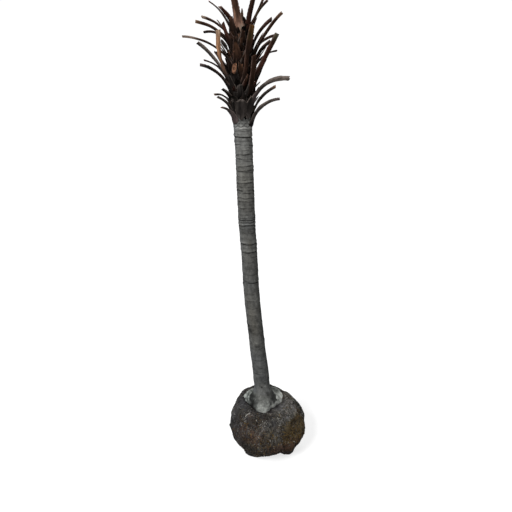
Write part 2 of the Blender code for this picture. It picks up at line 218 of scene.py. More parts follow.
def bump_at(x, centre, width):
    return np.exp(-(((x - centre) / width) ** 2))


def around(angle, centre):
    """Signed angle difference in radians."""
    return (angle - centre + math.pi) % (2 * math.pi) - math.pi


def unit(v):
    return v / np.maximum(np.linalg.norm(v, axis=-1, keepdims=True), 1e-12)


# ----------------------------------------------------------------- mesh making
class Shape:
    """Vertices, faces, slots and per-vertex values of one piece, gathered and made into one mesh."""

    def __init__(self):
        self.points, self.faces, self.slots, self.values, self.count = [], [], [], {}, 0

    def add(self, points, faces, slot=0, **values):
        """faces is a list of (n, 3) or (n, 4) index arrays; slot is one number or an array for each."""
        points = np.asarray(points, float).reshape(-1, 3)
        for k, block in enumerate(faces):
            block = np.asarray(block, np.int64)
            self.faces.append(block + self.count)
            wanted = slot[k] if isinstance(slot, (list, tuple)) else slot
            self.slots.append(np.broadcast_to(np.asarray(wanted, np.int32), (len(block),)))
        for name, value in values.items():
            self.values.setdefault(name, []).append(np.asarray(value, float).reshape(len(points), -1))
        self.points.append(points)
        self.count += len(points)

    def make(self, name, materials, smooth=True):
        points = np.concatenate(self.points)
        mesh = bpy.data.meshes.new(name)
        mesh.vertices.add(len(points))
        mesh.vertices.foreach_set("co", points.astype(np.float32).ravel())
        corners = np.concatenate([b.ravel() for b in self.faces]).astype(np.int32)
        sizes = np.concatenate([np.full(len(b), b.shape[1], np.int32) for b in self.faces])
        mesh.loops.add(len(corners))
        mesh.loops.foreach_set("vertex_index", corners)
        mesh.polygons.add(len(sizes))
        mesh.polygons.foreach_set("loop_start", np.concatenate([[0], np.cumsum(sizes)[:-1]]).astype(np.int32))
        mesh.polygons.foreach_set("material_index", np.concatenate(self.slots).astype(np.int32))
        mesh.polygons.foreach_set("use_smooth", np.full(len(sizes), smooth))
        mesh.update(calc_edges=True)
        for key, parts in self.values.items():
            data = np.concatenate(parts)
            if data.shape[1] == 3 and key == "tint":
                data = np.hstack([data, np.ones((len(data), 1))])
                made = mesh.attributes.new(key, "FLOAT_COLOR", "POINT")
                made.data.foreach_set("color", data.astype(np.float32).ravel())
            elif data.shape[1] == 3:
                made = mesh.attributes.new(key, "FLOAT_VECTOR", "POINT")
                made.data.foreach_set("vector", data.astype(np.float32).ravel())
            else:
                made = mesh.attributes.new(key, "FLOAT", "POINT")
                made.data.foreach_set("value", data.astype(np.float32).ravel())
        made = bpy.data.objects.new(name, mesh)
        bpy.context.scene.collection.objects.link(made)
        for mat in materials:
            mesh.materials.append(mat)
        return made


def tube_faces(rings, sides, closed=True):
    """Quads between consecutive rings of a tube whose vertices run ring by ring."""
    i = np.arange(rings - 1)[:, None] * sides
    k = np.arange(sides)[None, :]
    n = (k + 1) % sides
    quads = np.stack([i + k, i + n, i + sides + n, i + sides + k], axis=-1).reshape(-1, 4)
    return quads


# ----------------------------------------------------------------- materials
def node(tree, kind, **settings):
    made = tree.nodes.new(kind)
    for key, value in settings.items():
        if key in made.inputs:
            made.inputs[key].default_value = value
        else:
            setattr(made, key, value)
    return made


def begin(name, roughness, specular=0.10):
    mat = bpy.data.materials.new(name)
    mat.use_nodes = True
    tree = mat.node_tree
    shader = tree.nodes["Principled BSDF"]
    shader.inputs["Roughness"].default_value = roughness
    shader.inputs["Specular IOR Level"].default_value = specular
    return mat, tree, shader


def stretched(tree, source, scale):
    """The source vector scaled along each axis."""
    made = node(tree, "ShaderNodeMapping", vector_type="POINT")
    made.inputs["Scale"].default_value = scale
    tree.links.new(source, made.inputs["Vector"])
    return made.outputs["Vector"]


def noise_of(tree, vector, scale, detail=4.0, rough=0.6, distortion=0.0):
    made = node(tree, "ShaderNodeTexNoise")
    made.inputs["Scale"].default_value = scale
    made.inputs["Detail"].default_value = detail
    made.inputs["Roughness"].default_value = rough
    made.inputs["Distortion"].default_value = distortion
    tree.links.new(vector, made.inputs["Vector"])
    return made.outputs["Fac"]


def remap(tree, value, a, b, c, d):
    made = node(tree, "ShaderNodeMapRange")
    for key, number in zip(("From Min", "From Max", "To Min", "To Max"), (a, b, c, d)):
        made.inputs[key].default_value = number
    tree.links.new(value, made.inputs["Value"])
    return made.outputs["Result"]


def product(tree, first, second):
    made = node(tree, "ShaderNodeMath", operation="MULTIPLY")
    tree.links.new(first, made.inputs[0])
    if isinstance(second, float):
        made.inputs[1].default_value = second
    else:
        tree.links.new(second, made.inputs[1])
    return made.outputs[0]


def added(tree, first, second, share=1.0):
    made = node(tree, "ShaderNodeMath", operation="MULTIPLY_ADD")
    tree.links.new(second, made.inputs[0])
    made.inputs[1].default_value = share
    tree.links.new(first, made.inputs[2])
    return made.outputs[0]


def scaled_tint(tree, colour, factor):
    """A colour times a grey factor."""
    made = node(tree, "ShaderNodeVectorMath", operation="SCALE")
    tree.links.new(colour, made.inputs[0])
    tree.links.new(factor, made.inputs["Scale"])
    return made.outputs[0]


def relief(tree, shader, height, strength, distance):
    made = node(tree, "ShaderNodeBump")
    made.inputs["Strength"].default_value = strength
    made.inputs["Distance"].default_value = distance
    tree.links.new(height, made.inputs["Height"])
    tree.links.new(made.outputs["Normal"], shader.inputs["Normal"])


def tinted_material(name, kind):
    """Material whose colour is the piece's own tint, broken up by fine grain of one kind."""
    mat, tree, shader = begin(name, 0.85, 0.04 if kind in ("stalk", "pale") else 0.10)
    tint = node(tree, "ShaderNodeAttribute", attribute_name="tint").outputs["Color"]
    if kind == "bark":
        place = node(tree, "ShaderNodeTexCoord").outputs["Object"]
        fine = noise_of(tree, place, 420.0, 6.0, 0.7)
        patch = noise_of(tree, stretched(tree, place, (1.0, 1.0, 0.7)), 60.0, 5.0, 0.65)
        streak = noise_of(tree, stretched(tree, place, (1.0, 1.0, 0.12)), 260.0, 4.0, 0.6)
        both = product(tree, remap(tree, fine, 0.3, 0.7, 0.80, 1.20), remap(tree, patch, 0.32, 0.68, 0.72, 1.28))
        both = product(tree, both, remap(tree, streak, 0.3, 0.7, 0.90, 1.10))
        height = added(tree, fine, streak, 0.8)
        relief(tree, shader, height, 0.55, 0.0016)
        tree.links.new(remap(tree, patch, 0.3, 0.7, 0.95, 0.78), shader.inputs["Roughness"])
    elif kind == "mat":
        place = node(tree, "ShaderNodeTexCoord").outputs["Object"]
        fine = noise_of(tree, place, 300.0, 6.0, 0.75, 0.6)
        patch = noise_of(tree, place, 45.0, 5.0, 0.65)
        both = product(tree, remap(tree, fine, 0.3, 0.7, 0.55, 1.45), remap(tree, patch, 0.3, 0.7, 0.75, 1.25))
        relief(tree, shader, fine, 0.9, 0.003)
        tree.links.new(remap(tree, fine, 0.3, 0.7, 1.0, 0.85), shader.inputs["Roughness"])
    elif kind == "cut":
        place = node(tree, "ShaderNodeAttribute", attribute_name="flow").outputs["Vector"]
        pores = node(tree, "ShaderNodeTexVoronoi")
        pores.inputs["Scale"].default_value = 0.9
        tree.links.new(place, pores.inputs["Vector"])
        fine = noise_of(tree, place, 0.35, 5.0, 0.6)
        both = product(
            tree, remap(tree, pores.outputs["Distance"], 0.05, 0.5, 0.62, 1.12), remap(tree, fine, 0.3, 0.7, 0.75, 1.25)
        )
        relief(tree, shader, pores.outputs["Distance"], 0.6, 0.0008)
        tree.links.new(remap(tree, fine, 0.3, 0.7, 0.95, 0.8), shader.inputs["Roughness"])
    else:
        # flow is (across, through, along) the stalk in mm, so the grain runs lengthwise
        place = node(tree, "ShaderNodeAttribute", attribute_name="flow").outputs["Vector"]
        streak = noise_of(tree, stretched(tree, place, (1.0, 1.0, 0.05)), 0.8, 5.0, 0.62)
        fine = noise_of(tree, stretched(tree, place, (1.0, 1.0, 0.35)), 1.6, 4.0, 0.6)
        patch = noise_of(tree, stretched(tree, place, (1.0, 1.0, 0.5)), 0.09, 4.0, 0.6)
        low, high = (0.62, 1.38) if kind == "stalk" else (0.75, 1.25)
        both = product(tree, remap(tree, streak, 0.3, 0.7, low, high), remap(tree, patch, 0.3, 0.7, 0.72, 1.28))
        both = product(tree, both, remap(tree, fine, 0.3, 0.7, 0.86, 1.14))
        relief(tree, shader, added(tree, streak, fine, 0.5), 0.7, 0.0012)
        rough = (0.92, 0.6) if kind == "stalk" else (0.88, 0.7)
        tree.links.new(remap(tree, streak, 0.3, 0.7, *rough), shader.inputs["Roughness"])
    tree.links.new(scaled_tint(tree, tint, both), shader.inputs["Base Color"])
    return mat


def plain_material(name, colour, grain=500.0, roughness=0.9):
    """One base colour, with the roughness and relief of a rough strand."""
    mat, tree, shader = begin(name, roughness)
    shader.inputs["Base Color"].default_value = (*linear(colour), 1.0)
    place = node(tree, "ShaderNodeTexCoord").outputs["Object"]
    fine = noise_of(tree, place, grain, 3.0, 0.6)
    tree.links.new(remap(tree, fine, 0.3, 0.7, roughness + 0.08, roughness - 0.12), shader.inputs["Roughness"])
    relief(tree, shader, fine, 0.5, 0.0006)
    return mat


# ----------------------------------------------------------------- trunk
TRUNK_SIDES = 96
RING_SPACING = (
    (0.30, 0.040), (0.50, 0.036), (0.80, 0.031), (1.00, 0.027), (1.15, 0.022), (1.25, 0.0165), (1.45, 0.0150),
    (1.60, 0.0140),
)
RING_FORCE = ((0.30, 0.45), (0.75, 0.55), (1.00, 0.90), (1.15, 1.0))
STRONG_RINGS = (1.569, 1.213, 1.186, 1.103, 1.066, 0.918, 0.583)
# How much fuller the bark is than the wood, and how far it sways to +X, by height (mm).
BARK_FULL = (
    (0.262, 0.0), (0.345, 0.4), (0.395, 3.4), (0.450, 2.5), (0.555, 2.8), (0.680, 2.0), (0.810, 1.4), (1.050, 1.6), (1.160, 2.2),
    (1.270, 2.8), (1.370, 2.5), (1.475, 1.6), (1.580, 0.8), (1.640, 0.0), (2.020, -2.5),
)
BARK_SWAY = (
    (0.262, 0.0), (0.345, 0.0), (0.420, -0.6), (0.555, 0.7), (0.680, 2.2), (0.810, 1.6), (1.050, 0.5), (1.160, -1.6),
    (1.270, -1.2), (1.370, 0.0), (1.475, 1.2), (1.580, 1.2), (1.660, 0.0), (2.020, 0.0),
)
# How light the bark is by height (sRGB grey).
BARK_TONE = (
    (0.262, 112), (0.300, 98), (0.340, 92), (0.400, 80), (0.470, 78), (0.560, 81), (0.640, 80), (0.900, 84), (1.150, 86),
    (1.260, 90), (1.350, 97), (1.470, 100), (1.560, 110), (1.600, 116), (1.640, 90), (1.700, 60), (2.020, 52),
)


# Reach of the skirt's rim from the trunk's middle (m), by bearing (degrees).
SKIRT_RIM = (
    (-180, 0.094), (-166, 0.088), (-153, 0.079), (-134, 0.073), (-120, 0.079), (-108, 0.089), (-95, 0.095), (-82, 0.088),
    (-66, 0.077), (-46, 0.074), (-29, 0.077), (-14, 0.086), (2, 0.095), (21, 0.107), (36, 0.122), (47, 0.131), (58, 0.129),
    (70, 0.116), (90, 0.098), (116, 0.098), (132, 0.101), (143, 0.103), (154, 0.103), (168, 0.099), (180, 0.094),
)


def rim_reach(angle):
    """Reach of the skirt's rim, rounded at its corners."""
    total = 0.0
    for step in (-6, 0, 6):
        total = total + np.interp(np.degrees(around(angle + math.radians(step), 0)), *zip(*SKIRT_RIM))
    return total / 3


def make_trunk(ground):
    """Ringed trunk with its flared foot and pale skirt, as one relief mesh; ground is the ball it lies on."""
    heights = [GIRTH[0][0]]
    while heights[-1] < GIRTH[-1][0] - 0.001:
        z = heights[-1]
        slope = abs(along(GIRTH, z + 0.0004) - along(GIRTH, z)) / 0.0004
        step = 0.0016 if z < 0.36 else 0.00195 if z < 1.66 else 0.0045
        heights.append(z + step / math.sqrt(1 + slope * slope))
    heights[-1] = GIRTH[-1][0]
    z = np.array(heights)
    turn = np.arange(TRUNK_SIDES) / TRUNK_SIDES * 2 * math.pi
    zz, aa = np.meshgrid(z, turn, indexing="ij")
    radius = (along(GIRTH, z) + along(BARK_FULL, z) / 1000)[:, None] * np.ones_like(aa)
    unitv = np.stack([np.cos(aa), np.sin(aa), zz * 0], axis=-1)
    on = np.stack([np.cos(aa) * 0.036, np.sin(aa) * 0.036, zz], axis=-1)  # place on an even cylinder, for fields

    # Leaf-scar rings: each a wavy crack, lower at the front, broken into dashes, with a lip over it.
    rng = random.Random(4)
    rings, at = [], 1.602
    while at > 0.335:
        rings.append((at, rng.uniform(0.30, 0.95) * along(RING_FORCE, at)))
        at -= along(RING_SPACING, at) * rng.uniform(0.75, 1.25)
    rings += [(at, 1.25 * along(RING_FORCE, at)) for at in STRONG_RINGS]
    groove, lip, swell, shade = np.zeros_like(zz), np.zeros_like(zz), np.zeros_like(zz), np.zeros_like(zz)
    for n, (at, force) in enumerate(rings):
        lean, phase, droop = rng.uniform(0.0003, 0.0030), rng.uniform(0, 2 * math.pi), rng.uniform(0.0010, 0.0060)
        band = rng.uniform(-1, 1)
        rows = np.abs(z - at) < 0.026
        if not rows.any():
            continue
        a, h = aa[rows], zz[rows]
        circle = np.stack([np.cos(a), np.sin(a), a * 0 + n * 3.1], axis=-1)
        line = at + lean * np.cos(a - phase) + droop * np.sin(a) + 0.0022 * lattice(circle, 0.5, 40 + n)
        dash = np.clip(0.45 + 1.5 * lattice(circle, 0.42, 90 + n), 0.05, 1)
        dash = np.maximum(dash, 0.12 if force < 0.6 else 0.3 if force < 1 else 0.7)
        width = 0.0013 + 0.0012 * force * dash
        groove[rows] += force * dash * bump_at(h, line, width)
        lip[rows] += force * dash * bump_at(h, line + 0.0052, 0.0030)
        swell[rows] += force * bump_at(h, line + 0.0070, 0.0062)
        shade[rows] += band * bump_at(h, line + 0.0070, 0.0080)
    bole = ease(0.33, 0.37, zz) * (1 - ease(1.60, 1.64, zz))
    groove, lip, swell = np.minimum(groove, 1.3) * bole, np.minimum(lip, 1.2) * bole, np.minimum(swell, 1.2) * bole
    shade = shade * bole
    rough = layered(on, 0.010, 5, 3) * 0.00055 + layered(on, 0.035, 9, 2) * 0.0009
    furrow = layered(on * np.array([1.0, 1.0, 0.18]), 0.006, 12, 2)
    radius = radius + (rough + 0.00035 * furrow) * ease(0.27, 0.33, zz) - 0.0019 * groove + 0.0006 * lip + along(RING_FORCE, z)[:, None] * 0.0010 * swell

    # Knobs that break the outline.
    for at, where, high, wide, tall in (
        (1.531, 0.0, 0.0022, 0.35, 0.006), (1.444, -5.0, 0.0020, 0.4, 0.005), (1.428, 8.0, 0.0016, 0.3, 0.005),
        (1.095, -10.0, 0.0024, 0.6, 0.010), (1.575, 178.0, 0.0022, 0.3, 0.005), (1.548, 186.0, 0.0016, 0.3, 0.004),
        (0.905, 182.0, 0.0018, 0.3, 0.006), (0.704, 172.0, 0.0022, 0.4, 0.009), (0.610, -5.0, 0.0018, 0.4, 0.010),
        (1.320, 95.0, 0.0022, 0.4, 0.007), (0.780, 80.0, 0.0022, 0.5, 0.008), (1.010, 120.0, 0.0018, 0.4, 0.006),
    ):
        radius = radius + high * bump_at(around(aa, math.radians(where)), 0, wide) * bump_at(zz, at, tall)

    # The skirt: a thin uneven plate, drawn out to points, with two hollows beside the flare.
    plate = (np.clip((along(GIRTH, z) - 0.071) / 0.022, 0, 1) * (z < 0.285))[:, None] * np.ones_like(aa)
    edge = np.stack([np.cos(aa) * 0.09, np.sin(aa) * 0.09, aa * 0], axis=-1)
    ragged = layered(edge, 0.020, 21, 3) * 0.0085 + layered(edge, 0.0065, 23, 2) * 0.0042
    radius = radius + plate * (rim_reach(aa) - 0.093 + ragged)
    flare = ease(0.268, 0.280, zz) * (1 - ease(0.306, 0.340, zz))
    left = bump_at(around(aa, math.radians(-163)), 0, 0.50)
    right = bump_at(around(aa, math.radians(-16)), 0, 0.46)
    behind = bump_at(around(aa, math.radians(85)), 0, 0.40)
    hollow = (left + right + 0.8 * behind) * flare
    radius = radius * (1 - 0.10 * hollow * (1 - plate))
    spur = bump_at(around(aa, math.radians(-92)), 0, 0.45) + bump_at(around(aa, math.radians(40)), 0, 0.35) * 0.8
    spur = spur + bump_at(around(aa, math.radians(150)), 0, 0.35) * 0.8
    radius = radius * (1 + 0.05 * spur * flare * (1 - plate))

    centre = (along(LEAN, z) + along(BARK_SWAY, z) / 1000)[:, None] * np.array([1.0, 0, 0])
    points = unitv * radius[..., None]
    points[..., 0] += centre[:, :1] * 1.0
    points[..., 2] = zz
    # The plate drapes over the ball, its top is bumpy and its rim stands off a little at the right.
    reach = np.hypot(points[..., 0] - centre[:, :1], points[..., 1])
    drape = ease(0.072, 0.088, reach) * (zz < 0.285)
    for i, k in zip(*np.nonzero(drape)):
        hit = ground.ray_cast(Vector((points[i, k, 0], points[i, k, 1], 0.40)), Vector((0, 0, -1)))[0]
        rest = (hit.z if hit else 0.262) + 0.75 * (zz[i, k] - 0.2645)
        points[i, k, 2] += drape[i, k] * (rest - zz[i, k])
    top = plate * ease(0.2635, 0.268, zz)
    lift = layered(points, 0.013, 31, 3) * 0.0032 + layered(points, 0.0050, 33, 2) * 0.0014 + 0.0030 * bump_at(around(aa, math.radians(-36)), 0, 0.55)
    points[..., 2] += top * lift

    # Colour: grey by height, with painted shade in the cracks and a painted highlight on their lips, mottled; the skirt
    # pale with painted shade in its hollows.
    grey = along(BARK_TONE, z)[:, None] * np.ones_like(aa)
    mottle = layered(on, 0.030, 61, 3)
    grain = layered(on * np.array([1.0, 1.0, 0.8]), 0.008, 71, 3)
    speck = layered(on * np.array([1.0, 1.0, 1.6]), 0.0045, 76, 2)
    grey = grey * (1 + 0.13 * mottle + 0.17 * grain + 0.10 * speck + 0.07 * shade)
    # painted shade in the ring cracks and a painted highlight on the lips above them
    grey = grey * (1 - 0.62 * np.minimum(groove, 1.0)) * (1 + 0.16 * lip)
    # painted shade: the upper trunk's left side is painted darker
    grey = grey * (1 - 0.16 * bump_at(around(aa, math.pi), 0, 0.60) * ease(1.20, 1.40, zz))
    warm = np.zeros_like(aa) + 1.0 * layered(on, 0.07, 81, 2) - 0.9 * bump_at(around(aa, math.pi), 0, 0.7)
    warm = warm + 1.3 * bump_at(around(aa, math.radians(-100)), 0, 0.6) * bump_at(zz, 0.72, 0.11) - 0.9 * ease(0.62, 0.52, zz)
    stain = bump_at(around(aa, math.radians(-78)), 0, 0.22) * bump_at(zz, 1.097, 0.018)
    warm += 1.6 * stain
    grey *= 1 - 0.12 * stain
    # light line above the first ring, and the V-shaped scars of the lowest leaf bases
    zig = 1.6005 + 0.0032 * np.abs((aa / (2 * math.pi) * 9) % 1 * 2 - 1) + 0.001 * mottle
    grey *= 1 + 0.34 * bump_at(zz, zig, 0.0022)
    scales = ((aa / (2 * math.pi) * 9) % 1 - 0.5) * 2
    for row, at in enumerate((1.612, 1.623, 1.635)):
        vee = at - 0.006 * np.abs(((aa / (2 * math.pi) * 9 + 0.5 * (row + 1)) % 1 - 0.5) * 2)
        grey *= 1 - 0.36 * bump_at(zz, vee, 0.0020) + 0.16 * bump_at(zz, vee + 0.0045, 0.0022)
    for at, where, wide, tall, share in (
        (0.912, -160.0, 0.055, 0.0035, 0.35), (0.930, -62.0, 0.04, 0.0022, 1.9), (0.752, -58.0, 0.04, 0.002, 1.6),
        (0.698, -150.0, 0.30, 0.008, 0.62), (0.674, -132.0, 0.34, 0.010, 0.60), (0.369, -92.0, 0.09, 0.0042, 0.35),
        (0.474, -14.0, 0.10, 0.004, 1.45), (1.020, -150.0, 0.10, 0.005, 0.7), (0.592, -86.0, 0.30, 0.008, 0.70),
        (0.612, -88.0, 0.26, 0.008, 1.14), (0.517, -105.0, 0.60, 0.0024, 0.80), (0.441, -118.0, 0.50, 0.0028, 0.74), (0.474, -82.0, 0.20, 0.0030, 0.66),
        (0.375, -68.0, 0.16, 0.005, 1.22), (0.553, -18.0, 0.12, 0.004, 1.40),
        (0.415, -120.0, 0.22, 0.012, 0.88), (0.330, -55.0, 0.20, 0.010, 0.66), (1.350, -40.0, 0.25, 0.010, 0.82),
    ):
        spot = bump_at(around(aa, math.radians(where)), 0, wide) * bump_at(zz, at, tall)
        grey *= 1 + (share - 1) * np.minimum(1, spot * 1.3)
    pale = 1 - ease(0.296, 0.336, zz)
    blotch = layered(points, 0.015, 91, 3)
    crumb = layered(points, 0.0055, 93, 2)
    flat = ease(0.064, 0.073, reach + 0.009 * blotch)
    # painted shade: the hollows beside the flare are painted darker
    lobes = np.clip(
        bump_at(around(aa, math.radians(-160)), 0, 0.80) + 0.72 * bump_at(around(aa, math.radians(-16)), 0, 0.68)
        + 0.8 * behind, 0, 1) * ease(0.028, 0.042, reach)
    finger = (bump_at(around(aa, math.radians(-107)), 0, 0.13) + bump_at(around(aa, math.radians(-68)), 0, 0.11)) * ease(0.040, 0.054, reach)
    bell = 92 - 42 * lobes + 36 * finger + 32 * blotch + 24 * crumb
    bell -= 26 * bump_at(around(aa, math.radians(-56)), 0, 0.16) * bump_at(reach, 0.043, 0.007)
    sheet = 124 + 42 * bump_at(around(aa, math.radians(20)), 0, 0.8) + 16 * bump_at(around(aa, math.radians(160)), 0, 0.7) + 44 * blotch + 34 * crumb
    sheet = sheet - 62 * bump_at(around(aa, math.radians(-140)), 0, 0.40)
    skirt = bell + (sheet - bell) * flat
    skirt = skirt * (1 - 0.40 * bump_at(around(aa, math.radians(-141)), 0, 0.36) * ease(0.058, 0.068, reach))
    grey = grey * (1 - pale) + skirt * pale
    # painted shade on the skirt's underside, beneath its overhanging rim
    under = ease(0.2655, 0.2632, zz)
    grey = grey * (1 - 0.62 * under)
    colour = np.stack([grey * (1.0 + 0.018 * warm), grey * (1.0 + 0.004 * warm), grey * (0.972 - 0.02 * warm)], axis=-1)
    colour[..., 2] = np.where(zz < 0.33, grey * 0.965, colour[..., 2])
    bud = ease(1.68, 1.80, zz)[..., None]
    wrap = 0.55 + 0.8 * np.abs(layered(on * np.array([1.0, 1.0, 0.12]), 0.007, 98, 2))[..., None]
    colour = colour * (1 - bud) + np.array([46.0, 32.0, 25.0]) * wrap * bud
    tint = linear(np.clip(colour, 8, 235))

    rows = len(z)
    shape = Shape()
    flat = points.reshape(-1, 3)
    low = np.array([centre[0, 0], 0.0, z[0]])
    high = np.array([centre[-1, 0], 0.0, z[-1] + 0.002])
    flat = np.vstack([flat, low, high])
    tints = np.vstack([tint.reshape(-1, 3), tint[0, 0], tint[-1, 0]])
    quads = tube_faces(rows, TRUNK_SIDES)
    k = np.arange(TRUNK_SIDES)
    n = (k + 1) % TRUNK_SIDES
    bottom = np.stack([np.full(TRUNK_SIDES, rows * TRUNK_SIDES), n, k], axis=-1)
    last = (rows - 1) * TRUNK_SIDES
    topcap = np.stack([np.full(TRUNK_SIDES, rows * TRUNK_SIDES + 1), last + k, last + n], axis=-1)
    shape.add(flat, [quads, bottom, topcap], tint=tints)
    made = shape.make("ringed_trunk", [tinted_material("grey_bark", "bark")])
    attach(made, "root")
    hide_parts("trunk")
    return made


# ----------------------------------------------------------------- root ball
BALL_AROUND = 360
BALL_ROWS = 200
# Where the ball falls short of or stands out from its round core:
# bearing and its spread (degrees), height and its spread (m), share of the radius.
BALL_DENTS = (
    (-150, 30, 0.065, 0.035, -0.038), (178, 20, 0.165, 0.026, -0.040), (4, 26, 0.225, 0.035, -0.062), (2, 24, 0.145, 0.042, 0.015),
    (181, 14, 0.150, 0.030, 0.014),
    (60, 40, 0.255, 0.030, -0.030), (120, 30, 0.050, 0.040, -0.060), (40, 22, 0.080, 0.030, -0.040),
    (85, 16, 0.020, 0.030, 0.060), (181, 5, 0.118, 0.012, 0.050), (-8, 8, 0.096, 0.014, 0.022),
    (140, 7, 0.150, 0.014, 0.030), (-22, 14, 0.055, 0.020, -0.020), (-68, 12, 0.060, 0.030, -0.040),
)
# Radius of the underside (m) by bearing (degrees): undercut at the front, with a toe at the front right.
BALL_FOOT = (
    (-180, 0.118), (-154, 0.123), (-143, 0.125), (-134, 0.122), (-124, 0.113), (-114, 0.098), (-99, 0.084), (-85, 0.072),
    (-68, 0.064), (-55, 0.067), (-48, 0.082), (-42, 0.113), (-36, 0.132), (-27, 0.139), (-15, 0.138), (0, 0.131),
    (30, 0.112), (60, 0.104), (90, 0.115), (125, 0.108), (150, 0.114), (180, 0.118),
)


def ball_grid(around_count, rows):
    """Grid of points over the ball, from the middle of its underside to the middle of its top."""
    outline = [(0.0, 0.0), (0.05, 0.0)] + [(r, h) for h, r in BALL_PROFILE] + [(0.099, 0.2685), (0.092, 0.2632), (0.05, 0.2618), (0.0, 0.2618)]
    outline = np.array(outline)
    fine = []
    for i in range(len(outline) - 1):
        p0, p1, p2, p3 = outline[max(i - 1, 0)], outline[i], outline[i + 1], outline[min(i + 2, len(outline) - 1)]
        for t in np.arange(0, 1, 0.05):
            fine.append(0.5 * (2 * p1 + (p2 - p0) * t + (2 * p0 - 5 * p1 + 4 * p2 - p3) * t * t + (3 * p1 - p0 - 3 * p2 + p3) * t**3))
    fine.append(outline[-1])
    fine = np.array(fine)
    fine[:, 1] = np.maximum(fine[:, 1], 0.0)
    run = np.concatenate([[0], np.cumsum(np.linalg.norm(np.diff(fine, axis=0), axis=1))])
    # few rows where nothing shows: under the foot and beneath the skirt
    dense = np.interp(np.linspace(0, 1, rows), [0, 0.04, 0.93, 1], [0, 0.080, run[-1] - 0.098, run[-1]])
    r = np.interp(dense, run, fine[:, 0])
    h = np.interp(dense, run, fine[:, 1])
    a = np.arange(around_count) / around_count * 2 * math.pi
    rr, aa = np.meshgrid(r, a, indexing="ij")
    return rr, h[:, None] * np.ones_like(aa), aa, dense


def grain_of(p):
    """The ball's coarse grain, from -1 in the pits to 1 on the crumbs."""
    return 0.55 * layered(p, 0.0125, 111, 2) + 0.45 * layered(p * np.array([1, 1, 0.55]), 0.0065, 117, 2)


def ball_points(rr, hh, aa):
    """Points of the ball with the CAD's lumps and tilt, then its dents, its corner and its grain."""
    out = rr * (1 + 0.012 * np.sin(3 * aa + 0.6) * (1 - ease(0.0, 0.045, hh)) - 0.006)
    for bearing, spread, at, tall, share in BALL_DENTS:
        out = out + rr * share * bump_at(around(aa, math.radians(bearing)), 0, math.radians(spread)) * bump_at(hh, at, tall)
    foot = np.interp(np.degrees(around(aa, 0)), *zip(*BALL_FOOT))
    under = 1 - ease(0.004, 0.026, hh)
    out = np.minimum(out, foot + 1.12 * hh + 1.5 * hh**2 + 0.05 * ease(0.085, 0.11, hh))
    out = out + (foot + 0.55 * (rr - 0.097) - out) * under
    out = np.where(hh < 0.0004, rr * foot / 0.097, out)
    p = np.stack([out * np.cos(aa), out * np.sin(aa), hh], axis=-1)
    core = np.stack([rr * np.cos(aa), rr * np.sin(aa), hh], axis=-1)
    coarse = (slice(None, None, 1), slice(None, None, 4))
    flat = core[coarse].reshape(-1, 3)
    lump = np.array([noise.noise(Vector(q) / BALL_LUMP_SIZE) + 0.5 * noise.noise(Vector(q) * 2.1 / BALL_LUMP_SIZE) for q in flat])
    lump = lump.reshape(core[coarse].shape[:2])
    turns = rr.shape[1]
    x = np.arange(turns) / 4
    i0 = np.floor(x).astype(int) % lump.shape[1]
    f = x - np.floor(x)
    lump = lump[:, i0] * (1 - f) + lump[:, (i0 + 1) % lump.shape[1]] * f
    keep = np.minimum(1, hh / 0.05) * np.minimum(1, np.maximum(rr / 0.097, 0.2)) * ease(0.088, 0.102, rr + (hh < 0.2))
    away = unit(np.stack([p[..., 0], p[..., 1], (p[..., 2] - 0.14) * 0.7], axis=-1))
    finer = layered(p, 0.032, 101, 2) * 0.0034
    bare = smooth_share(p)
    grain = grain_of(p) * 0.0030 * (1 - 0.72 * bare)
    p = p + away * ((lump * BALL_LUMP * 2.0) * keep + (finer + grain) * np.maximum(keep, ease(0.0, 0.012, hh) * (rr > 0.10)))[..., None]
    high = np.clip((hh - 0.14) / 0.12, 0, 1) * ease(0.075, 0.100, rr)
    p[..., 2] += (BALL_TOP_TILT * p[..., 1] - BALL_TOP_SIDE * p[..., 0]) * high
    p[..., 2] -= 0.013 * bump_at(around(aa, math.radians(48)), 0, math.radians(48)) * ease(0.225, 0.262, hh) * ease(0.075, 0.100, rr)
    p[..., 0] -= 0.005 * high
    inner = 1 - ease(0.085, 0.100, rr)
    p[..., 0] += np.where(hh > 0.2, -0.022 * inner, 0)
    p[..., 2] = np.maximum(p[..., 2], 0.0)
    return p


def smooth_share(p):
    """Where packed earth covers the roots: low down, on the left, on the right and in patches behind."""
    angle = np.arctan2(p[..., 1], p[..., 0])
    z = p[..., 2]
    foot = ease(0.085, 0.040, z + 0.012 * layered(p, 0.04, 191, 2))
    left = bump_at(around(angle, math.radians(-172)), 0, 0.50) * ease(0.05, 0.12, z)
    lower_left = bump_at(around(angle, math.radians(-145)), 0, 0.26) * ease(0.205, 0.165, z) * 0.8
    right = bump_at(around(angle, math.radians(-26)), 0, 0.46) * ease(0.262, 0.232, z) * 0.85
    behind = bump_at(around(angle, math.radians(70)), 0, 0.40) * bump_at(z, 0.13, 0.07) * 0.9
    return np.clip(np.maximum.reduce([foot, left, lower_left, right, behind]) + 0.25 * layered(p, 0.035, 193, 2), 0, 1)


ROOT_TONES = {
    "char": (27, 25, 23), "soil": (47, 44, 40), "root": (72, 69, 64), "dust": (97, 95, 90), "ashen": (126, 123, 118),
    "umber": (62, 48, 39), "rust": (84, 65, 53), "clay": (99, 75, 60), "peat": (58, 47, 29), "moss": (90, 73, 43),
    "fern": (113, 94, 58), "chalk": (176, 172, 164), "mist": (84, 83, 86),
}


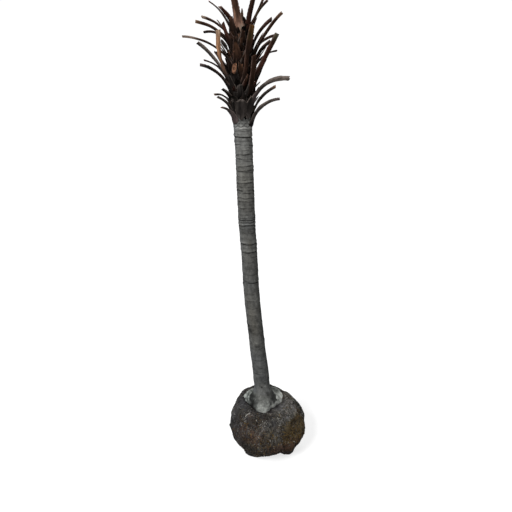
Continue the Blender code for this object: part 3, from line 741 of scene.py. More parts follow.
# Lighter and darker areas of the ball: share, bearing and its spread (degrees), height and its spread (m).
LIGHT_AREAS = (
    (0.32, -108, 16, 0.195, 0.040), (0.17, -72, 13, 0.205, 0.040), (0.25, -57, 13, 0.215, 0.025), (-0.04, -62, 12, 0.165, 0.020), (-0.16, -104, 12, 0.256, 0.018), (-0.10, -133, 10, 0.200, 0.020),
    (-0.12, -42, 14, 0.168, 0.035), (-0.16, -92, 16, 0.135, 0.022), (0.24, -58, 12, 0.115, 0.025), (0.14, -115, 10, 0.125, 0.025),
    (0.30, -60, 14, 0.275, 0.020), (0.12, -42, 10, 0.268, 0.020), (0.50, -20, 13, 0.250, 0.025), (0.20, -50, 12, 0.245, 0.020),
    (-0.18, -138, 12, 0.235, 0.030), (-0.12, -155, 12, 0.170, 0.030), (0.26, -176, 12, 0.215, 0.025), (0.15, -125, 10, 0.262, 0.018),
)


def tinge(p):
    """How brown, olive and red the ball is, how light and how cool: grey above and left, brown below, olive at the right."""
    angle = np.arctan2(p[..., 1], p[..., 0])
    z = p[..., 2]

    def area(bearing, spread, at, tall):
        return bump_at(around(angle, math.radians(bearing)), 0, math.radians(spread)) * bump_at(z, at, tall)

    right = np.minimum(1, 1.3 * bump_at(around(angle, math.radians(-38)), 0, 0.62) * ease(0.252, 0.218, z) * ease(0.05, 0.10, z))
    red = bump_at(around(angle, math.radians(-60)), 0, 0.40) * ease(0.165, 0.125, z)
    low = area(-118, 26, 0.165, 0.050)
    back = bump_at(around(angle, math.radians(120)), 0, 0.6) * ease(0.20, 0.10, z)
    patch = 0.42 * layered(p, 0.06, 161, 2)
    brown = np.clip(0.36 * right + 0.80 * red + 0.60 * low + 0.4 * back + patch, 0, 1)
    olive = np.clip(0.92 * right * (1 - 0.8 * red) + 0.20 * low + 0.45 * layered(p, 0.05, 165, 2), 0, 1)
    gain = 1 - 0.12 * bump_at(around(angle, math.pi), 0, 0.85) + 0.30 * bump_at(around(angle, math.radians(-6)), 0, 0.75)
    gain = gain + 0.26 * ease(0.215, 0.255, z) * bump_at(around(angle, math.radians(-10)), 0, 1.1)
    gain = gain + 0.10 * red + 0.45 * red * ease(0.100, 0.040, z)
    gain = gain - 0.12 * ease(0.165, 0.130, z)
    for share, *place in LIGHT_AREAS:
        gain = gain + share * area(*place)
    cool = bump_at(around(angle, math.pi), 0, 0.75) * ease(0.09, 0.15, z)
    return brown, olive, red, gain, cool


def root_mix(points, chance, straws=0.022):
    """Index of the strand colour for places on the ball, by region and chance."""
    names = list(ROOT_TONES)
    z = points[..., 2]
    brown, olive, red, gain, cool = tinge(points)
    patch = layered(points, 0.030, 131, 3)
    bright = np.clip(0.45 + 1.2 * patch + 1.3 * (gain - 1) + 0.10 * ease(0.14, 0.24, z) - 0.20 * ease(0.10, 0.03, z), 0, 1.3)
    plain = 1 - 0.72 * np.clip(olive + brown, 0, 1)
    weights = {
        "char": 0.30 * (1.35 - bright), "soil": 0.24 * plain, "root": (0.24 + 0.12 * bright) * plain,
        "dust": 0.28 * bright * plain, "ashen": 0.20 * bright**2 * plain, "umber": 0.26 * brown, "rust": 0.30 * brown * bright,
        "clay": 0.34 * red + 0.10 * brown * bright**2, "peat": 0.24 * olive, "moss": 0.34 * olive, "fern": 0.34 * olive * bright,
        "chalk": straws * bright * (1 - 0.6 * brown), "mist": 0.30 * cool * plain,
    }
    table = np.cumsum(np.stack([np.maximum(weights[n], 0.001) for n in names], axis=-1), axis=-1)
    table /= table[..., -1:]
    return (chance[..., None] > table).sum(axis=-1)


def make_ball():
    rr, hh, aa, s = ball_grid(BALL_AROUND, BALL_ROWS)
    grid = ball_points(rr, hh, aa)
    rows, sides = rr.shape
    shape = Shape()
    body = grid[1:-1].reshape(-1, 3)
    points = np.vstack([body, grid[0].mean(axis=0), grid[-1].mean(axis=0)])
    quads = tube_faces(rows - 2, sides)
    k = np.arange(sides)
    n = (k + 1) % sides
    bottom = np.stack([np.full(sides, len(body)), n, k], axis=-1)
    last = (rows - 3) * sides
    top = np.stack([np.full(sides, len(body) + 1), last + k, last + n], axis=-1)
    # Earth between the roots: painted shade in the pits and a painted highlight on the crumbs, greyer up and to the
    # left, browner to the right.
    brown, olive, red, gain, cool = tinge(points)
    bare = smooth_share(points)
    level = 57 + 3 * bare + 14 * layered(points, 0.028, 141, 3) + 34 * grain_of(points) * (1 - 0.6 * bare)
    level = gain * (level + 11 * layered(points, 0.004, 151, 2))
    # painted shade on the earth just outside the skirt's rim, as if cast by the rim
    gap = np.hypot(points[:, 0] + 0.022, points[:, 1]) - rim_reach(np.arctan2(points[:, 1], points[:, 0] + 0.022))
    level = level * (1 - 0.55 * bump_at(gap, 0.003, 0.007) * (points[:, 2] > 0.2))
    colour = np.stack([
        level * (1.00 + 0.14 * brown + 0.05 * olive), level * (0.985 - 0.09 * brown - 0.03 * olive + 0.015 * cool),
        level * (0.98 - 0.19 * brown - 0.27 * olive + 0.03 * red + 0.045 * cool),
    ], axis=-1)
    shape.add(points, [quads, bottom, top], tint=linear(np.clip(colour, 8, 200)))
    made = shape.make("root_ball_mat", [tinted_material("root_mat", "mat")])
    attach(made, "root")
    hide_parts("root_ball")
    ground = BVHTree.FromPolygons([Vector(p) for p in points], [tuple(q) for q in quads.tolist()])
    return grid, rr, s, ground


def strands(name, count, seed, grid, rr, s, lengths, thick, rise, hang, free=0.0, sides=3, beads=6, bend=0.22, cover=0.97):
    """Fine roots that creep over the ball: joined thin tubes whose ends dive into the mat."""
    rng = np.random.default_rng(seed)
    rows, turns = rr.shape
    normal = unit(np.cross(np.roll(grid, -1, axis=1) - np.roll(grid, 1, axis=1), np.gradient(grid, axis=0)))
    normal = np.where((normal * (grid - np.array([0, 0, 0.13]))).sum(-1, keepdims=True) < 0, -normal, normal)
    # rows weighted by their ring's area, leaving out the underside and the seat; fewer on packed earth
    weight = rr[:, 0] * np.gradient(s) * ((s > 0.10) & (rr[:, 0] > 0.099) | (grid[:, 0, 2] < 0.2) & (s > 0.10))
    weight = np.cumsum(weight / weight.sum())
    tries = count * 4
    row = np.searchsorted(weight, rng.random(tries)) + rng.random(tries)
    turn = rng.random(tries) * turns
    spot = grid[np.clip(row.astype(int), 0, rows - 1), turn.astype(int) % turns]
    clump = 0.5 + 0.9 * layered(spot, 0.024, 171, 2)
    wanted = rng.random(tries) < np.clip(clump, 0.08, 1) * (1 - cover * smooth_share(spot))
    kept = np.flatnonzero(wanted)[:count]
    count = len(kept)
    row, turn = row[kept], turn[kept]
    length = rng.uniform(*lengths, count)
    downward = rng.random(count) < hang * np.where(spot[kept][:, 2] < 0.13, 1.25, 0.7)
    heading = np.where(downward, -math.pi / 2 + rng.normal(0, 0.30, count), rng.uniform(0, 2 * math.pi, count))
    place = np.zeros((count, beads, 3))
    lifted = np.zeros((count, beads, 3))
    curl = rng.normal(0, bend * 0.8, count)
    spacing = np.gradient(s)
    for b in range(beads):
        r0 = np.clip(row, 1, rows - 2.001)
        i, f = np.floor(r0).astype(int), r0 - np.floor(r0)
        j0, g = np.floor(turn).astype(int) % turns, turn - np.floor(turn)
        j1 = (j0 + 1) % turns
        for target, source in ((place, grid), (lifted, normal)):
            target[:, b] = (
                source[i, j0] * ((1 - f) * (1 - g))[:, None] + source[i + 1, j0] * (f * (1 - g))[:, None]
                + source[i, j1] * ((1 - f) * g)[:, None] + source[i + 1, j1] * (f * g)[:, None]
            )
        step = length / (beads - 1)
        reach = np.maximum(rr[i, 0], 0.03)
        row = r0 + np.sin(heading) * step / spacing[i]
        turn = (turn + np.cos(heading) * step / reach / (2 * math.pi) * turns) % turns
        curl = curl * 0.6 + rng.normal(0, bend, count)
        heading = heading + curl
    lifted = unit(lifted)
    t = np.linspace(0, 1, beads)[None, :]
    lift = rise * rng.uniform(0.2, 1.3, count)[:, None] * np.sin(math.pi * t) - 0.0007
    if free:
        loose = (rng.random(count) < free)[:, None]
        lift = np.where(loose, -0.001 + rng.uniform(0.003, 0.007, count)[:, None] * t**2, lift)
    path = place + lifted * lift[..., None]
    radius = rng.uniform(*thick, count)[:, None] * (0.45 + 0.55 * np.sin(math.pi * (0.10 + 0.80 * t)))
    path[..., 2] = np.maximum(path[..., 2], radius + 0.0003)
    tangent = unit(np.gradient(path, axis=1))
    across = unit(np.cross(tangent, lifted))
    upward = np.cross(across, tangent)
    a = np.arange(sides) / sides * 2 * math.pi + 0.5
    ring = (across[:, :, None, :] * np.cos(a)[None, None, :, None] + upward[:, :, None, :] * np.sin(a)[None, None, :, None])
    points = path[:, :, None, :] + ring * radius[:, :, None, None]
    base = tube_faces(beads, sides)
    quads = (np.arange(count)[:, None, None] * (beads * sides) + base[None]).reshape(-1, 4)
    colour = root_mix(place.mean(axis=1), rng.random(count), 0.022 if lengths[1] < 0.02 else 0.0)
    end = (beads - 1) * sides
    ends = [[0, k + 1, k] for k in range(1, sides - 1)] + [[end, end + k, end + k + 1] for k in range(1, sides - 1)]
    caps = (np.arange(count)[:, None, None] * (beads * sides) + np.array(ends)[None]).reshape(-1, 3)
    shape = Shape()
    shape.add(points, [quads, caps], slot=[np.repeat(colour, len(base)), np.repeat(colour, len(ends))])
    made = shape.make(name, ROOT_MATERIALS)
    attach(made, "root")
    return made


# ----------------------------------------------------------------- cut fronds
SECTION = 22
CLEAR_HEIGHT = 1.632  # no leaf base reaches further down the trunk than this


def stops(pairs, x):
    return np.interp(x, [p for p, _ in pairs], [q for _, q in pairs])


def stalk(shape, sizes, tones, seed, foot=62, wide=None, point=40, roll=0.0, lift=0.0, shift=0.0, fat=1.0, kind="cut",
          teeth=1.1, edge=0.5, face=None, step=0.0028, snug=0.0, tip=(0, 0), dark=0.42, slant=3.0,
          spot=None, gloom=1.0):
    """One cut frond or leaf base: a broad sheath wrapped round the trunk that ends below in a point, a
    channelled stalk with toothed margins, and its cut end."""
    height, bearing, slope0, slope1, swing, length, width, thickness = sizes
    rng = np.random.default_rng(seed)
    radial = np.array([math.cos(bearing), math.sin(bearing), 0.0])
    side0 = np.array([-math.sin(bearing), math.cos(bearing), 0.0])
    point = max(0.006, min(point / 1000, height - CLEAR_HEIGHT + 0.008))
    down, up, fine = max(4, int(point / 0.0036)), max(12, int(length / step)), 4
    s_low = np.linspace(-point, 0, down, endpoint=False)
    zl = height + s_low
    low = np.stack([along(LEAN, zl), zl * 0, zl], axis=-1) + radial * (along(GIRTH, zl) - snug + 0.0006)[:, None]
    s_up = np.linspace(0, length, up)
    place = np.array([along(LEAN, height), 0.0, height]) + radial * (along(GIRTH, height) - snug)
    path = [place]
    for i in range(1, up):
        for j in range(fine):
            t = ((i - 1) + (j + 0.5) / fine) / (up - 1)
            slope, turn = slope0 + (slope1 - slope0) * t, bearing + swing * t
            place = place + np.array(
                [math.cos(slope) * math.cos(turn), math.cos(slope) * math.sin(turn), math.sin(slope)]
            ) * (length / ((up - 1) * fine))
        path.append(place)
    path = np.array(path)
    t_up = s_up / length
    bow = np.sin(math.pi * t_up)
    path = path + np.stack([shift * bow + tip[0] * t_up**2, bow * 0, lift * bow + tip[1] * t_up**2], axis=-1) / 1000
    centre = np.vstack([low, path])
    s = np.concatenate([s_low, s_up])
    n = len(s)
    heading = unit(np.gradient(centre, axis=0))
    for _ in range(4):
        heading[1:-1] = unit(heading[:-2] + heading[1:-1] * 2 + heading[2:])
    side = unit(side0 - heading * (heading @ side0)[:, None])
    out = np.cross(side, heading)
    t = np.clip(s / length, 0, 1)
    left = length - s
    turn = np.radians(roll) * ease(0.12, 0.62, t) + math.radians(rng.uniform(-8, 8)) * t**1.5
    side, out = (
        side * np.cos(turn)[:, None] - out * np.sin(turn)[:, None],
        out * np.cos(turn)[:, None] + side * np.sin(turn)[:, None],
    )

    # Breadth: a point at the bottom of the sheath, its full spread at the trunk, then the stalk.
    stem = width * 1000 * min(fat, 1.15)
    if wide:
        breadth = stops(wide, t)
        at_foot = wide[0][1]
    else:
        at_foot = foot
        reach = np.clip(1 - np.maximum(s, 0) / rng.uniform(0.060, 0.082), 0, 1)
        breadth = stem * (1 - 0.10 * t) + (foot - stem) * reach**1.5
    low_part = np.clip((s + point) / point, 0, 1)
    breadth = np.where(s < 0, at_foot * np.sin(0.5 * math.pi * low_part) ** 0.9, breadth)
    breadth = np.maximum(breadth, 1.6)
    broad = np.clip((breadth - stem) / 40, 0, 1)
    ts = np.where(s < 0, 0.35 + 0.65 * low_part, 1 + 0.1 * np.exp(-np.maximum(s, 0) / 0.03)) * (1 - 0.12 * t) * fat
    if kind == "round":
        r = 0.42 * breadth[-1] / 1000
        breadth = breadth * np.sqrt(np.clip(1 - np.clip(1 - left / r, 0, 0.96) ** 2, 0.06, 1))
    elif kind == "point":
        breadth = breadth * (0.25 + 0.75 * np.clip(left / (0.38 * length), 0, 1) ** 0.8)
        ts = ts * (0.5 + 0.5 * np.clip(left / (0.3 * length), 0, 1))
    elif kind == "swell":
        breadth = breadth * (1 + 0.25 * ease(0.50, 0.66, t) + 0.42 * bump_at(t, 0.80, 0.07) + 0.30 * ease(0.90, 0.98, t) - 0.10 * bump_at(t, 0.90, 0.03))
        ts = ts * (1 + 0.35 * ease(0.55, 0.75, t))
    line = np.stack([s, s * 0 + seed * 1.37, s * 0], axis=-1)
    wave = 1 + 0.07 * lattice(line, 0.022, seed) + 0.05 * lattice(line, 0.008, seed + 5)
    half = 0.0005 * breadth * wave
    deep = thickness * ts * (1 + 0.10 * lattice(line, 0.03, seed + 9))
    channel = (0.30 + 0.30 * rng.random()) * (1 - 0.5 * broad) * (0.1 if kind == "oblique" else 1.0)
    wrap = np.maximum(1 - ease(0.020, 0.085, s), ease(0.15, 0.75, broad) * (1 - ease(0.05, 0.11, s)))

    phi = (np.arange(SECTION) + 0.0) / SECTION * 2 * math.pi
    u = np.sign(np.cos(phi)) * np.abs(np.cos(phi)) ** 0.85
    e = np.abs(np.sin(phi)) ** 0.85
    outer = np.sin(phi) >= -1e-9
    x = half[:, None] * u[None]
    thin = 1 - 0.45 * broad[:, None] * np.abs(u[None])
    rise = 0.5 * deep[:, None] * e[None] * thin
    v = np.where(outer[None], rise, -rise + (channel * deep)[:, None] * (1 - u[None] ** 2) ** 1.2)
    # lengthwise ribs and a few deeper creases
    ribs, phase = rng.uniform(7, 12), rng.uniform(0, 6)
    band = np.stack([x * 1000, np.repeat(s[:, None], SECTION, 1) * 1000 * 0.06, x * 0 + seed * 3.3], axis=-1)
    crease = lattice(band, 2.2, seed + 3)
    v = v + np.where(outer, 1, -0.6)[None] * (0.00030 * np.sin(u[None] * ribs + phase + 1.5 * np.sin(s[:, None] * 25)) + 0.00065 * crease) * e[None]
    # margins: toothed on the stalk, frayed on the sheath
    pitch = rng.uniform(0.008, 0.015)
    for sign in (-1, 1):
        saw = (s / pitch + rng.uniform(0, 1)) % 1.0
        saw = np.where(saw < 0.72, saw / 0.72, (1 - saw) / 0.28)
        size = teeth * 0.001 * (0.45 + 0.9 * np.abs(np.interp(s, np.linspace(s[0], s[-1], 14), rng.normal(0.5, 0.5, 14))))
        fray = (lattice(line + sign * 3.1, 0.011, seed + 21) + 0.8 * lattice(line + sign * 5.7, 0.0045, seed + 23)) * 0.0034 * broad
        tooth = saw * size * ease(0.0, 0.02, s) * ease(0, 0.012, left + (0.004 if kind == "cut" else 0)) + fray
        x = x + sign * tooth[:, None] * np.clip((sign * u[None] - 0.70) / 0.30, 0, 1)
    axis = np.stack([along(LEAN, centre[:, 2]), centre[:, 2] * 0], axis=-1)
    rho = np.maximum(np.linalg.norm(centre[:, :2] - axis, axis=1), 0.02)[:, None]
    angle = np.clip(x / rho, -2.0, 2.0)
    bent = rho * np.sin(angle)
    inward = rho * (1 - np.cos(angle)) * wrap[:, None]
    xr = bent * wrap[:, None] + x * (1 - wrap[:, None])
    wobble = lattice(line, 0.035, seed) * 0.0014 * ease(0.02, 0.06, s)
    dip = lattice(line + 9.3, 0.045, seed) * 0.0014 * ease(0.02, 0.06, s)
    points = centre[:, None] + side[:, None] * (xr + wobble[:, None])[..., None] + out[:, None] * (v + dip[:, None])[..., None] - radial * inward[..., None]

    # the cut: square, askew, rough or a long oblique face
    slant_u, slant_v, rag = rng.uniform(-0.3, 0.3), rng.uniform(-0.3, 0.6), 0.0007
    if kind == "oblique":
        slant_u, slant_v, rag = 0.10, slant, 0.0016
    elif kind == "torn":
        rag = 0.0036
    fallback = max(0.008, 1.25 * abs(slant_v) * deep[-1] + abs(slant_u) * 2 * half[-1])
    near = np.clip(1 - left / fallback, 0, 1)[:, None]
    drop = near * (slant_u * x - slant_v * (v + 0.5 * deep[:, None]))
    points = points + heading[:, None] * drop[..., None]
    if kind == "torn":
        split = 0.010 * lattice(np.stack([u * 6, u * 0, u * 0 + seed], axis=-1), 1.7, seed + 31)
        points = points + heading[:, None] * (split[None] * np.clip(1 - left / 0.030, 0, 1)[:, None])[..., None]
    rough = rng.normal(0, rag, (n, SECTION)) * np.clip(1 - left / 0.006, 0, 1)[:, None]
    points = points + heading[:, None] * rough[..., None]

    # colours
    names = tones.split()
    table = np.array([tone(k) for k in names])
    where = np.linspace(0, 1, len(names))
    where[1:-1] = np.linspace(0.16, 0.84, len(names) - 2) if len(names) > 2 else where[1:-1]
    where = np.concatenate([where[:-1], [0.97]]) if len(names) > 1 else where
    # painted shade: each stalk's foot is painted darker, towards its first tone times dark, where it sits against the
    # trunk beneath the fronds above
    base_c = table[0] * dark
    colour = np.stack([np.interp(t, where, table[:, c]) for c in range(3)], axis=-1)
    colour = colour + (base_c - colour) * (1 - ease(-0.3 * point, 0.030, s))[:, None]
    colour = np.repeat(colour[:, None, :], SECTION, axis=1)
    colour = colour * np.where(outer, 1.12, 0.50)[None, :, None]
    flow = np.stack([x * 1000, v * 1000, np.repeat(s[:, None] * 1000, SECTION, axis=1) + seed * 37.0], axis=-1)
    blotch = layered(flow * np.array([1, 1, 0.22]), 5.0, seed, 2)
    streak = layered(flow * np.array([1, 1, 0.035]), 3.4, seed + 41, 3)
    colour = colour * np.clip(1 + 0.55 * blotch + 1.15 * streak, 0.25, 2.4)[..., None]
    # thin margins painted paler: partly their own paler colour, partly a painted highlight along the edges
    rim_part = np.clip((np.abs(u) - 0.80) / 0.16, 0, 1)[None, :] * (0.35 + 0.65 * (lattice(line, 0.02, seed + 51) > -0.25))[:, None]
    margin = tone("mauve") * 0.5 + tone("rose") * 0.5 if slot_is_brown(names) else tone("ash")
    colour = colour + (margin - colour) * (edge * rim_part * np.where(outer, 1, 0.5)[None] * ease(-0.03, 0.01, s)[:, None])[..., None]
    # a painted highlight: a pale spot laid on the stalk's outer face
    if spot:
        at, across, size, name = spot
        gap = np.hypot(x * 1000 - across * half[:, None] * 1000, (s[:, None] - at * length) * 700) + 3 * blotch
        colour = colour + (tone(name) - colour) * (0.95 * np.exp(-((gap / size) ** 2)) * outer[None])[..., None]
    # painted shade: the crown is painted darker near the trunk, where the fronds shade one another
    out_from = np.hypot(points[..., 0] - along(LEAN, points[..., 2].ravel()).reshape(points.shape[:2]), points[..., 1])
    colour = colour * (1 - 0.50 * gloom * (1 - ease(0.042, 0.105, out_from)))[..., None]
    colour = np.maximum(colour, 0.0012)

    last = points[-1]
    middle = last.mean(axis=0)
    face_c = tone(face) if face else table[-1] * 1.25
    shares = (1.0, 0.86, 0.68, 0.48, 0.27)
    pits = rng.normal(0, 0.00035, (len(shares), SECTION))
    pits[0] = 0
    caps, cap_tints, cap_flows = [], [], []
    for r, share in enumerate(shares):
        ring = middle + (last - middle) * share - heading[-1] * (0.0005 + 0.0005 * (1 - share)) * (r > 0)
        caps.append(ring + heading[-1] * pits[r][:, None])
        spread = flow[-1] * share * np.array([1, 1.6, 1])
        mottle = (0.74 if kind == "oblique" else 0.80) + (1.7 if kind == "oblique" else 1.25) * layered(spread, 6.0 if kind == "oblique" else 9.0, seed + 61, 2) + 0.35 * lattice(spread, 2.0, seed + 67) - 0.40 * (r == 0) + 0.12 * (1 - share)
        cap_tints.append(np.clip(mottle, 0.22, 1.7)[:, None] * face_c[None])
        cap_flows.append(flow[-1] * share)
    dent = middle - heading[-1] * 0.0012
    first = points[0].mean(axis=0)
    verts = np.vstack([points.reshape(-1, 3), *caps, dent, first])
    tints = np.vstack([colour.reshape(-1, 3), *cap_tints, cap_tints[-1].mean(axis=0)[None] * 0.9, colour[0, 0][None]])
    flows = np.vstack([flow.reshape(-1, 3), *cap_flows, cap_flows[-1].mean(axis=0)[None], flow[0, 0][None]])
    quads = tube_faces(n, SECTION)[:, ::-1]
    k = np.arange(SECTION)
    m = (k + 1) % SECTION
    rim, mid = n * SECTION, (n + len(shares)) * SECTION
    rings = tube_faces(len(shares), SECTION)[:, ::-1] + rim
    inmost = rim + (len(shares) - 1) * SECTION
    fan = np.stack([inmost + m, inmost + k, np.full(SECTION, mid)], axis=-1)
    base = np.stack([k, m, np.full(SECTION, mid + 1)], axis=-1)
    shape.add(verts, [quads, rings, fan, base], slot=[0, 1, 1, 0], tint=tints, flow=flows)


def slot_is_brown(names):
    return names[len(names) // 2] in ("dark", "brown", "red", "umber", "bark", "olive", "rose", "pink")


def all_stubs():
    """Name, sizes, slot, tones and looks of every cut frond."""
    count = {}
    for where, sizes, slot, tones, looks in STUBS:
        count[where] = count.get(where, 0) + 1
        yield f"frond_{where}_{count[where]:02d}", sizes, slot, tones, looks
    for i in range(BACK_COUNT):
        wave = 0.5 + 0.5 * math.sin(2.4 * i + 0.7)
        high = i / (BACK_COUNT - 1)
        tones = "soot slate grey grey" if high < 0.35 else BACK_TONES[i % len(BACK_TONES)]
        sizes = (
            BACK_START + BACK_RISE * i, math.radians(BACK_COLUMNS[i * BACK_STEP % len(BACK_COLUMNS)]),
            math.radians(70 - 6 * wave), math.radians(12 + 30 * wave + 18 * high), math.radians(6 - 12 * wave),
            BACK_LENGTH[0] + (BACK_LENGTH[1] - BACK_LENGTH[0]) * wave, BACK_WIDTH, BACK_THICKNESS,
        )
        looks = dict(fat=1.3, roll=25 * math.sin(1.7 * i), teeth=1.3)
        if i > 10:
            looks["tip"] = (0, -12 * (i - 10))
        yield f"frond_back_{i + 1:02d}", sizes, "grey" if high < 0.35 else "brown", tones, looks


def make_stubs():
    skins = {slot: tinted_material("stalk_" + slot, "stalk" if slot in ("brown", "grey") else "pale") for slot in ("brown", "grey", "pale", "ochre")}
    cut_face = tinted_material("cut_face", "cut")
    for k, (name, sizes, slot, tones, looks) in enumerate(all_stubs()):
        shape = Shape()
        stalk(shape, sizes, tones, 11 + k, **looks)
        made = shape.make("cut_" + name, [skins[slot], cut_face])
        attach(made, "root")
        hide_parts(name)


# Old leaf bases between the fronds: they climb the crown in a close spiral, dealt out to pieces in turn.
BASE_COUNT = 138
BASE_LOW, BASE_HIGH = 1.650, 1.965
BASE_PIECES = 12


def make_leaf_bases():
    rng = random.Random(8)
    shapes = [Shape() for _ in range(BASE_PIECES)]
    for i in range(BASE_COUNT):
        high = i / (BASE_COUNT - 1)
        height = BASE_LOW + (BASE_HIGH - BASE_LOW) * high**0.92
        bearing = 137.5 * i + 20
        tones = rng.choice(("black soot slate", "soot dark slate", "soot slate grey")) if high < 0.2 else rng.choice(
            ("black soot dark", "black soot brown", "black black dark", "soot dark red", "black soot umber", "black black soot",
             "black dark slate"))
        length = rng.uniform(0.030, 0.070) * (1 - 0.40 * high)
        foot = rng.uniform(24, 50) * (1 - 0.25 * high)
        top = rng.uniform(8, 20)
        sizes = (
            height, math.radians(bearing), math.radians(rng.uniform(66, 80)), math.radians(rng.uniform(50, 80)),
            math.radians(rng.uniform(-14, 14)), length, 0.020, rng.uniform(0.004, 0.008),
        )
        stalk(
            shapes[i % BASE_PIECES], sizes, tones, 300 + i, wide=((0, foot), (0.35, foot * 0.85), (0.7, top * 1.2), (1, top)),
            kind=rng.choice(("torn", "torn", "torn", "cut", "point")), teeth=1.4, edge=rng.uniform(0.1, 1.0) ** 1.5, step=0.0036,
            point=30, snug=0.002,
        )
    for k, (height, bearing, slope, length, foot, top, tones, kind) in enumerate((
        (1705, -6, 71, 66, 44, 16, "dark mauve slate grey", "point"), (1880, -118, 74, 70, 50, 14, "black soot dark brown", "torn"),
        (1905, -78, 76, 62, 52, 16, "black soot brown", "torn"), (1835, -70, 74, 66, 46, 12, "black soot umber", "point"),
        (1800, -128, 72, 72, 50, 16, "black soot dark slate", "torn"), (1790, -88, 76, 58, 42, 18, "black soot umber", "torn"),
        (1920, -135, 72, 50, 48, 14, "black dark brown", "point"), (1870, -50, 72, 70, 50, 14, "soot dark red", "torn"),
        (1752, -64, 75, 60, 40, 12, "black dark umber", "point"), (1740, -130, 73, 66, 44, 14, "black soot slate", "torn"),
        (1872, 2, 62, 70, 44, 20, "black dark red brown", "torn"), (1824, -4, 66, 74, 46, 20, "black dark brown umber", "torn"),
        (1912, -90, 80, 36, 26, 10, "black dark umber bark", "torn"), (1908, -112, 77, 42, 30, 10, "black dark brown umber", "point"),
        (1892, -84, 78, 44, 26, 9, "black dark umber", "torn"), (1872, -101, 77, 42, 28, 10, "black dark brown bark", "torn"),
        (1850, -112, 76, 46, 30, 11, "black soot brown umber", "torn"), (1846, -86, 78, 44, 26, 9, "black dark brown", "point"),
        (1826, -100, 77, 40, 26, 10, "black soot dark brown", "torn"), (1865, 178, 60, 60, 44, 22, "black soot slate grey", "torn"),
        (1862, 171, 68, 74, 44, 16, "black soot dark", "torn"), (1822, 174, 62, 62, 40, 18, "black soot dark slate", "torn"),
        (1880, 5, 68, 92, 40, 14, "black soot dark red", "torn"), (1748, -4, 54, 46, 44, 24, "dark slate slate grey", "torn"),
        (1692, -2, 60, 46, 40, 18, "dark slate grey", "point"), (1716, 178, 58, 46, 40, 18, "dark slate slate", "torn"),
        (1925, 168, 72, 72, 40, 14, "soot dark brown", "torn"), (1945, 8, 77, 74, 38, 12, "soot dark red brown", "torn"),
        (1815, 14, 66, 112, 40, 12, "black soot dark red", "torn"),
    )):
        sizes = (
            height / 1000, math.radians(bearing), math.radians(slope), math.radians(slope - 12), 0.0, length / 1000, 0.020, 0.006,
        )
        stalk(
            shapes[k % BASE_PIECES], sizes, tones, 500 + height, wide=((0, foot), (0.35, foot * 0.8), (0.7, top * 1.3), (1, top)), kind=kind,
            edge=1.0, step=0.0036, point=30, gloom=0.7,
        )
    # the youngest leaves, folded over the growing tip
    for k in range(11):
        bearing, high = 137.5 * k + 60, k / 10
        tones = rng.choice(("black dark red brown", "soot brown umber", "black soot brown umber", "dark red brown"))
        sizes = (
            1.966 + 0.030 * high, math.radians(bearing), math.radians(84), math.radians(rng.uniform(88, 112)),
            math.radians(rng.uniform(-14, 14)), rng.uniform(0.034, 0.050) * (1 - 0.35 * high), 0.016, 0.005,
        )
        stalk(
            shapes[k % BASE_PIECES], sizes, tones, 900 + k, wide=((0, 40 - 12 * high), (0.5, 30 - 8 * high), (1, 10)), kind="torn",
            edge=rng.uniform(0.4, 1.0), step=0.003, point=24, snug=0.001, gloom=0.6,
        )
    looks = [tinted_material("leaf_base", "stalk"), tinted_material("leaf_base_cut", "cut")]
    for k, shape in enumerate(shapes):
        made = shape.make(f"old_leaf_bases_{k + 1:02d}", looks)
        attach(made, "root")


def make_fibres():
    """Short threads of leaf-base fibre deep in the crown."""
    rng = np.random.default_rng(77)
    count, beads, sides = 900, 7, 3
    height = rng.uniform(1.68, 1.96, count)
    bearing = rng.uniform(0, 2 * math.pi, count)
    reach = along(GIRTH, height) + rng.uniform(0.0, 0.010, count)
    place = np.stack([along(LEAN, height) + reach * np.cos(bearing), reach * np.sin(bearing), height], axis=-1)
    slope = rng.normal(math.radians(76), 0.25, count)
    turn = bearing + rng.normal(0, 0.9, count)
    length = rng.uniform(0.012, 0.034, count)
    path = np.zeros((count, beads, 3))
    for b in range(beads):
        path[:, b] = place
        slope = slope + rng.normal(0, 0.15, count)
        turn = turn + rng.normal(0, 0.25, count)
        d = np.stack([np.cos(slope) * np.cos(turn), np.cos(slope) * np.sin(turn), np.sin(slope)], axis=-1)
        place = place + d * (length / (beads - 1))[:, None]
    t = np.linspace(0, 1, beads)[None]
    radius = rng.uniform(0.0003, 0.0007, count)[:, None] * (1 - 0.7 * t)
    tangent = unit(np.gradient(path, axis=1))
    across = unit(np.cross(tangent, np.array([0.3, 0.9, 0.1])))
    upward = np.cross(across, tangent)
    a = np.arange(sides) / sides * 2 * math.pi
    ring = across[:, :, None] * np.cos(a)[None, None, :, None] + upward[:, :, None] * np.sin(a)[None, None, :, None]
    points = path[:, :, None] + ring * radius[:, :, None, None]
    base = tube_faces(beads, sides)
    quads = (np.arange(count)[:, None, None] * (beads * sides) + base[None]).reshape(-1, 4)
    ends = np.array([[2, 1, 0], [(beads - 1) * 3, (beads - 1) * 3 + 1, (beads - 1) * 3 + 2]])
    caps = (np.arange(count)[:, None, None] * (beads * sides) + ends[None]).reshape(-1, 3)
    colour = rng.integers(0, 4, count)
    shape = Shape()
    shape.add(points, [quads, caps], slot=[np.repeat(colour, len(base)), np.repeat(colour, 2)])
    made = shape.make("crown_fibres", [
        plain_material("fibre_dark", (30, 24, 20)), plain_material("fibre_brown", (52, 40, 33)),
        plain_material("fibre_grey", (70, 62, 57)), plain_material("fibre_tan", (88, 68, 54)),
    ])
    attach(made, "root")


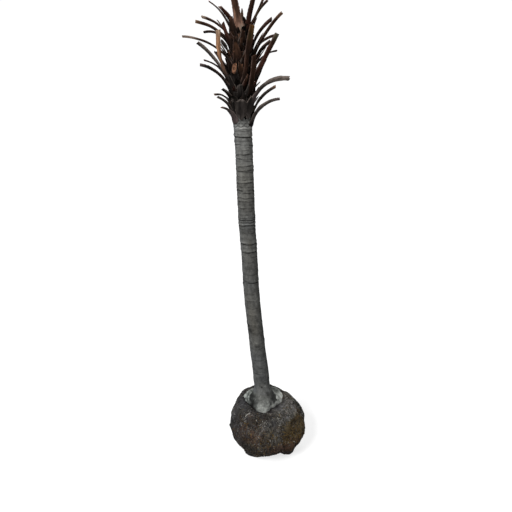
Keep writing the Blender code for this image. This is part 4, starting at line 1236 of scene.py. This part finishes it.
# ----------------------------------------------------------------- studio
def make_studio():
    scene = bpy.context.scene
    mesh = bpy.data.meshes.new("floor")
    size = 40.0
    mesh.from_pydata([(-size, -size, 0), (size, -size, 0), (size, size, 0), (-size, size, 0)], [], [(0, 1, 2, 3)])
    floor = bpy.data.objects.new("floor", mesh)
    floor.location = (0, 0, -0.0005)
    scene.collection.objects.link(floor)
    mat = bpy.data.materials.new("pale_floor")
    mat.use_nodes = True
    tree = mat.node_tree
    shader = tree.nodes["Principled BSDF"]
    shader.inputs["Base Color"].default_value = (0.38, 0.38, 0.38, 1)
    shader.inputs["Roughness"].default_value = 0.9
    shader.inputs["Specular IOR Level"].default_value = 0.1
    shader.inputs["Emission Color"].default_value = (1, 1, 1, 1)
    rays = node(tree, "ShaderNodeLightPath")
    tree.links.new(product(tree, rays.outputs["Is Camera Ray"], 0.72), shader.inputs["Emission Strength"])
    mesh.materials.append(mat)

    world = bpy.data.worlds.new("studio")
    scene.world = world
    world.use_nodes = True
    tree = world.node_tree
    back = tree.nodes["Background"]
    rays = node(tree, "ShaderNodeLightPath")
    mix = node(tree, "ShaderNodeMix", data_type="FLOAT")
    tree.links.new(rays.outputs["Is Camera Ray"], mix.inputs[0])
    mix.inputs[2].default_value = 0.30
    mix.inputs[3].default_value = 1.05
    tree.links.new(mix.outputs[0], back.inputs["Strength"])
    back.inputs["Color"].default_value = (1, 1, 1, 1)

    def sun(name, azimuth, elevation, strength, angle):
        """A soft light from azimuth (0 from the camera's side, negative from its left) and elevation."""
        data = bpy.data.lights.new(name, "SUN")
        data.energy = strength
        data.angle = math.radians(angle)
        lamp = bpy.data.objects.new(name, data)
        a, e = math.radians(azimuth), math.radians(elevation)
        source = Vector((math.sin(a) * math.cos(e), -math.cos(a) * math.cos(e), math.sin(e)))
        lamp.rotation_mode = "QUATERNION"
        lamp.rotation_quaternion = source.to_track_quat("Z", "Y")
        scene.collection.objects.link(lamp)

    sun("key", -35, 42, 3.1, 16)
    sun("back_fill", 172, 42, 0.9, 40)

    cam = bpy.data.cameras.new("camera")
    cam.sensor_width = 36.0
    cam.lens = 430 / 512 * 36.0
    cam.clip_start, cam.clip_end = 0.05, 100
    eye = bpy.data.objects.new("camera", cam)
    eye.location = (-0.060, -1.90, 1.60)
    eye.rotation_euler = (math.radians(73.5), 0, 0)
    scene.collection.objects.link(eye)
    scene.camera = eye
    scene.view_settings.view_transform = "Standard"
    scene.view_settings.look = "None"


ROOT_MATERIALS = [plain_material("root_" + name, colour) for name, colour in ROOT_TONES.items()]
make_studio()
ball, ball_r, ball_s, ground = make_ball()
make_trunk(ground)
for k in range(2):
    strands(f"root_crumbs_{k + 1}", 6200, 201 + k, ball, ball_r, ball_s, (0.004, 0.011), (0.0009, 0.0019), 0.0018, 0.45, beads=4, bend=0.3)
strands("root_threads", 4300, 205, ball, ball_r, ball_s, (0.012, 0.030), (0.0006, 0.0012), 0.0024, 0.75, beads=5)
strands("root_cords", 420, 206, ball, ball_r, ball_s, (0.020, 0.055), (0.0009, 0.0016), 0.0020, 0.85, free=0.10, sides=4, beads=8, bend=0.15, cover=0.7)
make_stubs()
make_leaf_bases()
make_fibres()
